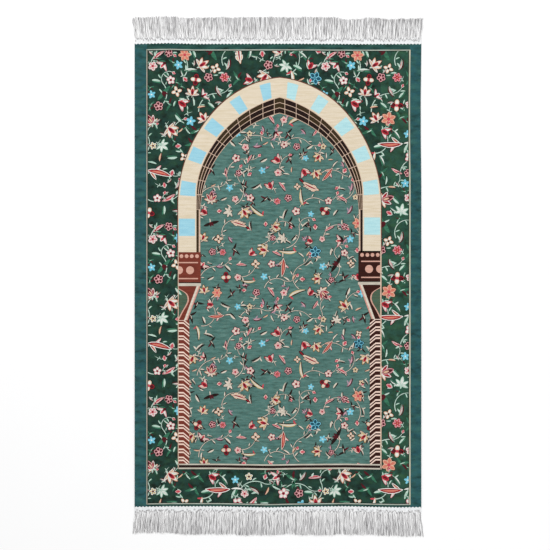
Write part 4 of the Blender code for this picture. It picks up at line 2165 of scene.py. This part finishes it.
@dataclass
class Fringe:
    """One end's fringe: a ribbed heading and a few hundred loose, wavy cotton ends."""

    node: str
    way: int  # 1 for the arch end, -1 for the foot end
    loom: Loom
    cottons: dict[Layer, bpy.types.Material]  # the material of each layer of loose ends
    woven: bpy.types.Material
    seed: int
    bunches: int = 46
    bunch_spread: float = 1.02  # how much wider apart they are at their tips
    rope_pitch: float = 6.0  # width of the ends that sway together, in millimetres
    waves: float = 2.1  # how many waves a loose end has
    sway: float = 0.6  # how far it waves to a side
    heading: float = 13.5  # how far the heading stands out of the body
    heading_inset: float = 1.0  # how much narrower the heading is than the body
    heading_ribs: int = 290
    heading_rows: tuple[float, ...] = (0.0, 0.12, 0.3, 0.75, 1.0)  # its rows, as shares of the way out
    frays: Point = (-4.0, 3.6)  # the least and the most that its outer side strays
    rib_depth: float = 0.22  # half the depth of its ribs
    overlap: float = 1.6  # how far it reaches over the body
    stitch: float = 8.0  # distance between two of its scallops over the body
    # The least and the most that a loose end is gathered in its rope, as a share.
    gather: Point = (0.2, 0.65)
    stray: float = 1.2  # how far its tip strays to a side
    roots: Point = (1.0, 9.0)  # the least and the most that it starts inside the heading
    lengths: Point = (-2.0, 0.6)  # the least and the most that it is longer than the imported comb
    extra: float = 0.9  # how much longer the ends are at the arch end, and shorter at the foot end
    inset: float = 6.0
    sides: int = 5
    cuts: int = 9  # how many cuts it has along it
    flare: float = 6.0  # how far the outermost ends lean out
    reach: EdgeRun = field(init=False)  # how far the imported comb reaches

    def __post_init__(self) -> None:
        """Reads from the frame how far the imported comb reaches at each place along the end."""
        corners = [(vert.co - self.loom.middle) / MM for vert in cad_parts[self.node].data.vertices]
        tips: dict[int, Point] = {}
        for corner in corners:
            out = self.way * corner.y - self.loom.length / 2
            bunch = round(corner.x / (self.loom.width / self.bunches * self.bunch_spread))
            if out > 2 * self.heading and out > tips.get(bunch, (0.0, 0.0))[1]:
                tips[bunch] = (corner.x, out)
        self.reach = EdgeRun(tuple(tips[bunch] for bunch in sorted(tips)))

    def end_line(self, x: float) -> float:
        """Gives the body's end at a place along it, in millimetres from the body's middle."""
        edge = self.loom.far if self.way > 0 else self.loom.near
        return self.loom.length / 2 + edge.at(x)

    def out(self, place: Vector) -> float:
        """Tells how far out of the body's end a place is, in millimetres."""
        return self.way * place.y - self.end_line(place.x)

    def heading_face(self, place: Vector, width: float) -> float:
        """Gives the height of the heading's ribbed face, which rolls down to the loose ends.

        Args:
            place: The place.
            width: The heading's width.

        Returns:
            Millimetres above the floor.
        """
        stand, fall, roll_start, roll_width = 0.45, 0.9, -0.5, 4.5
        share = min(1.0, max(0.0, (self.out(place) - roll_start) / roll_width))
        rib = self.rib_depth * math.cos(math.tau * self.heading_ribs * (place.x / width + 0.5))
        return self.loom.top + stand - fall * share**2 + rib

    def heading_back(self, place: Vector) -> float:
        """Gives the height of the heading's back: bedded in the body, and near the floor past its end."""
        bed, lap, past = 0.3, 0.2, 0.6
        return self.loom.top - bed if self.out(place) < lap else past

    def build_heading(self) -> Solid:
        """Weaves the heading: a white band of fine ribs, stitched over the body's end.

        Returns:
            The finished object.
        """
        cloth = bmesh.new()
        columns, last = 2 * self.heading_ribs, len(self.heading_rows) - 1
        grid = bmesh.ops.create_grid(cloth, x_segments=columns, y_segments=last, size=0.5)["verts"]
        chance = random.Random(self.seed + 5)
        frays = [chance.uniform(*self.frays) for _ in range(columns + 1)]
        width = self.loom.width - self.heading_inset
        for vert in grid:
            column = round((vert.co.x + 0.5) * columns)
            row = round((vert.co.y + 0.5) * last)
            x = (column / columns - 0.5) * width
            inner = -self.overlap * (0.6 + 0.6 * math.cos(math.tau * x / self.stitch))
            outer = self.heading + frays[column] * (row == last)
            out = inner + self.heading_rows[row] * (outer - inner)
            vert.co = Vector((x, self.way * (self.end_line(x) + out), 0.0))
        grown = bmesh.ops.extrude_face_region(cloth, geom=cloth.faces[:])["geom"]
        face = {item for item in grown if isinstance(item, Corner)}
        for vert in cloth.verts:
            vert.co.z = self.heading_face(vert.co, width) if vert in face else self.heading_back(vert.co)
        return self.lay_down("heading", cloth, self.woven)

    def path(self, start: float, chance: random.Random, ends: Ends) -> Callable[[float], Vector]:
        """Plans one loose end. Two or three ends at a time sway together as one rope.

        Args:
            start: Its place along the body's end, in millimetres.
            chance: The draws that it takes.
            ends: The layer that it belongs to.

        Returns:
            A function from the share along the strand to its middle line's place.
        """
        rope = math.floor(start / self.rope_pitch)
        middle = (rope + 0.5) * self.rope_pitch
        gather = chance.uniform(*self.gather) * ends.gather
        sweep = noise.noise(Vector((rope * 0.31, self.seed, 0.0))) * ends.sweep
        lean = self.flare * (2 * start / self.loom.width) + sweep + chance.uniform(-self.stray, self.stray)
        end = start + (middle - start) * gather + lean
        root = self.heading - chance.uniform(*self.roots)
        length = self.reach.at(start) + chance.uniform(*self.lengths) + self.extra * self.way - ends.short
        phase = noise.noise(Vector((rope * 0.83, 0.0, self.seed))) * 9.0
        level = chance.uniform(*ends.rise) if ends.rise else 0.0
        own = chance.uniform(0, 50)  # where in the noise this end's own sway and lift are read
        low = ends.radii[0] + 0.05
        top = 2.9  # height at which it leaves the heading

        def place(share: float) -> Vector:
            """Gives the middle line's place, in millimetres from the body's middle.

            Args:
                share: The share along the strand, from its root.

            Returns:
                The place.
            """
            wave = math.sin(math.tau * share * self.waves + phase) - math.sin(phase)
            sway = self.sway * wave + noise.noise(Vector((share * 3.2, own, 0.0))) * 1.6
            x = start + (end - start) * share**0.8 + sway * min(1.0, 4 * share)
            out = root + (length - root) * share
            lift = noise.noise(Vector((share * 4.0, 0.0, own))) * 0.8
            z = (top - level) * (1 - share) ** 6 + level * (0.9 - 0.25 * share) + lift * (level > 0)
            return Vector((x, self.way * (self.end_line(start) + out), max(low, z)))

        return place

    def build_ends(self, layer: Layer) -> Solid:
        """Spins one layer of loose ends.

        Args:
            layer: The layer.

        Returns:
            The finished object.
        """
        ends = layer.value
        template = bmesh.new()
        root, tip = ends.radii
        bmesh.ops.create_cone(
            template, cap_ends=True, segments=self.sides, radius1=root, radius2=tip, depth=1.0
        )
        lengths = [edge for edge in template.edges if abs(edge.verts[0].co.z - edge.verts[1].co.z) > 0.5]
        bmesh.ops.subdivide_edges(template, edges=lengths, cuts=self.cuts)
        pattern = bpy.data.meshes.new("strand_pattern")
        template.to_mesh(pattern)
        template.free()
        cloth = bmesh.new()
        chance = random.Random(self.seed + ends.seed_step)
        width = self.loom.width - self.inset
        for index in range(ends.count):
            start = (index / (ends.count - 1) - 0.5) * width + chance.uniform(-0.6, 0.6)
            place = self.path(start, chance, ends)
            known = len(cloth.verts)
            cloth.from_mesh(pattern)
            cloth.verts.ensure_lookup_table()
            for vert in cloth.verts[known:]:
                middle = place(min(1.0, max(0.0, vert.co.z + 0.5)))
                vert.co = middle + Vector((vert.co.x, 0.0, vert.co.y))
        bpy.data.meshes.remove(pattern)
        return self.lay_down(ends.name, cloth, self.cottons[layer])

    def lay_down(self, name: str, cloth: Cloth, material: bpy.types.Material) -> Solid:
        """Moves a piece of the fringe to the frame and dresses it.

        Args:
            name: What it is called after the fringe.
            cloth: Its mesh, in millimetres.
            material: Its material.

        Returns:
            The finished object.
        """
        bmesh.ops.recalc_face_normals(cloth, faces=cloth.faces[:])
        for vert in cloth.verts:
            vert.co = self.loom.middle + vert.co * MM
        made = hand_over(f"{self.node}_{name}", cloth, True)
        made.data.materials.append(material)
        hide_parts(self.node)
        return made

    def build(self) -> list[Solid]:
        """Makes the heading and the loose ends."""
        return [self.build_heading(), *(self.build_ends(layer) for layer in Layer)]


# ------------------------ the studio


class Lamp(NamedTuple):
    """One soft square lamp that faces the rug."""

    name: str
    place: tuple[float, float, float]
    size: float  # its side, in metres
    power: float  # watts


@dataclass
class Studio:
    """A pale floor, soft light, and a camera straight above."""

    view_width: float = 1.306  # width of the picture at the rug, in metres
    aim: Point = (-0.007, 0.004)  # the point below the camera
    lens: float = 85.0  # the camera's lens, in millimetres
    sensor: float = 36.0
    floor_size: float = 8.0
    floor_drop: float = 0.0001  # how far below the rug it lies, in metres
    # The two greys of its paper.
    floor_tones: tuple[Colour, Colour] = ((0.90, 0.90, 0.90, 1.0), (0.88, 0.88, 0.885, 1.0))
    sky: float = 0.62
    lamps: tuple[Lamp, ...] = (
        Lamp("key_light", (-0.9, 2.2, 2.6), 1.6, 57.0),
        Lamp("fill_light", (1.2, -1.6, 3.0), 2.4, 40.0),
    )

    def build_floor(self) -> None:
        """Lays the floor."""
        cloth = bmesh.new()
        bmesh.ops.create_grid(cloth, x_segments=4, y_segments=4, size=self.floor_size / 2)
        bmesh.ops.translate(cloth, verts=cloth.verts[:], vec=(0, 0, -self.floor_drop))
        mesh = bpy.data.meshes.new("studio_floor")
        cloth.to_mesh(mesh)
        cloth.free()
        floor = bpy.data.objects.new("studio_floor", mesh)
        bpy.context.scene.collection.objects.link(floor)
        material = bpy.data.materials.new("studio_paper")
        material.use_nodes = True
        wiring = Wiring(material.node_tree)
        shader = material.node_tree.nodes["Principled BSDF"]
        place = wiring.add("ShaderNodeTexCoord").outputs["Object"]
        wiring.feed(shader.inputs["Base Color"], wiring.blend(wiring.cloud(place, 3.0), *self.floor_tones))
        shader.inputs["Roughness"].default_value = 0.9
        shader.inputs["Specular IOR Level"].default_value = 0.0
        mesh.materials.append(material)

    def hang(self, lamp: Lamp) -> None:
        """Hangs a lamp.

        Args:
            lamp: The lamp.
        """
        light = bpy.data.lights.new(lamp.name, "AREA")
        light.shape = "SQUARE"
        light.size = lamp.size
        light.energy = lamp.power
        holder = bpy.data.objects.new(lamp.name, light)
        holder.location = lamp.place
        holder.rotation_euler = (-Vector(lamp.place)).to_track_quat("-Z", "Y").to_euler()
        bpy.context.scene.collection.objects.link(holder)

    def build_light(self) -> None:
        """Sets the sky and hangs the lamps."""
        world = bpy.data.worlds.new("studio_sky")
        world.use_nodes = True
        background = world.node_tree.nodes["Background"]
        background.inputs["Color"].default_value = (1.0, 1.0, 1.0, 1.0)
        background.inputs["Strength"].default_value = self.sky
        bpy.context.scene.world = world
        for lamp in self.lamps:
            self.hang(lamp)

    def build_camera(self) -> None:
        """Sets the camera straight above the rug, with the arch end up."""
        camera = bpy.data.cameras.new("camera")
        camera.lens = self.lens
        camera.sensor_width = self.sensor
        holder = bpy.data.objects.new("camera", camera)
        holder.location = (*self.aim, self.view_width * self.lens / self.sensor)
        bpy.context.scene.collection.objects.link(holder)
        bpy.context.scene.camera = holder

    def build(self) -> None:
        """Makes the whole studio."""
        self.build_floor()
        self.build_light()
        self.build_camera()
        bpy.context.scene.view_settings.view_transform = "Standard"


# ------------------------ the whole rug


def main() -> None:
    """Builds the studio and the rug, piece by piece."""
    logging.basicConfig(level=logging.INFO, format="%(message)s")
    Studio().build()
    loom, dyehouse = Loom(), Dyehouse()
    shop = (loom, dyehouse, Niche(), Frame())
    book = PatternBook(loom, dyehouse)
    ground = RugGround(*shop).build()
    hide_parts(BODY)
    pieces = [
        Flowerwork(*shop, Ground.BORDER, book, seed=4, sizes=(1.2, 1.6), stem_width=2.4).build(),
        Flowerwork(*shop, Ground.FIELD, book, seed=9).build(),
        *ArchBand(*shop).build(),
        BrickRing(*shop).build(),
        *Post(*shop, Side.LEFT).build(),
        *Post(*shop, Side.RIGHT).build(),
        FrameLines(*shop).build(),
    ]
    book.close()
    cottons = {
        Layer.FRONT: dyehouse.cotton("cotton_ends", "#fefefe", "#dddcdc", lay=0.0042),
        # The back ends' grey colours are painted shade; the cotton itself is white.
        Layer.BACK: dyehouse.cotton("cotton_back_ends_painted_shade", "#cdcccd", "#747374", lay=0.0042),
    }
    woven = dyehouse.cotton("cotton_heading", "#eff1f2", "#dcdee0", lay=0.0030)
    for node, way, seed in (("fringe_top", 1, 21), ("fringe_bottom", -1, 22)):
        pieces += Fringe(node, way, loom, cottons, woven, seed).build()
    for piece in [ground, *pieces]:
        LOG.info("%s: %d faces", piece.name, len(piece.data.polygons))


if __name__ == "__main__":
    main()
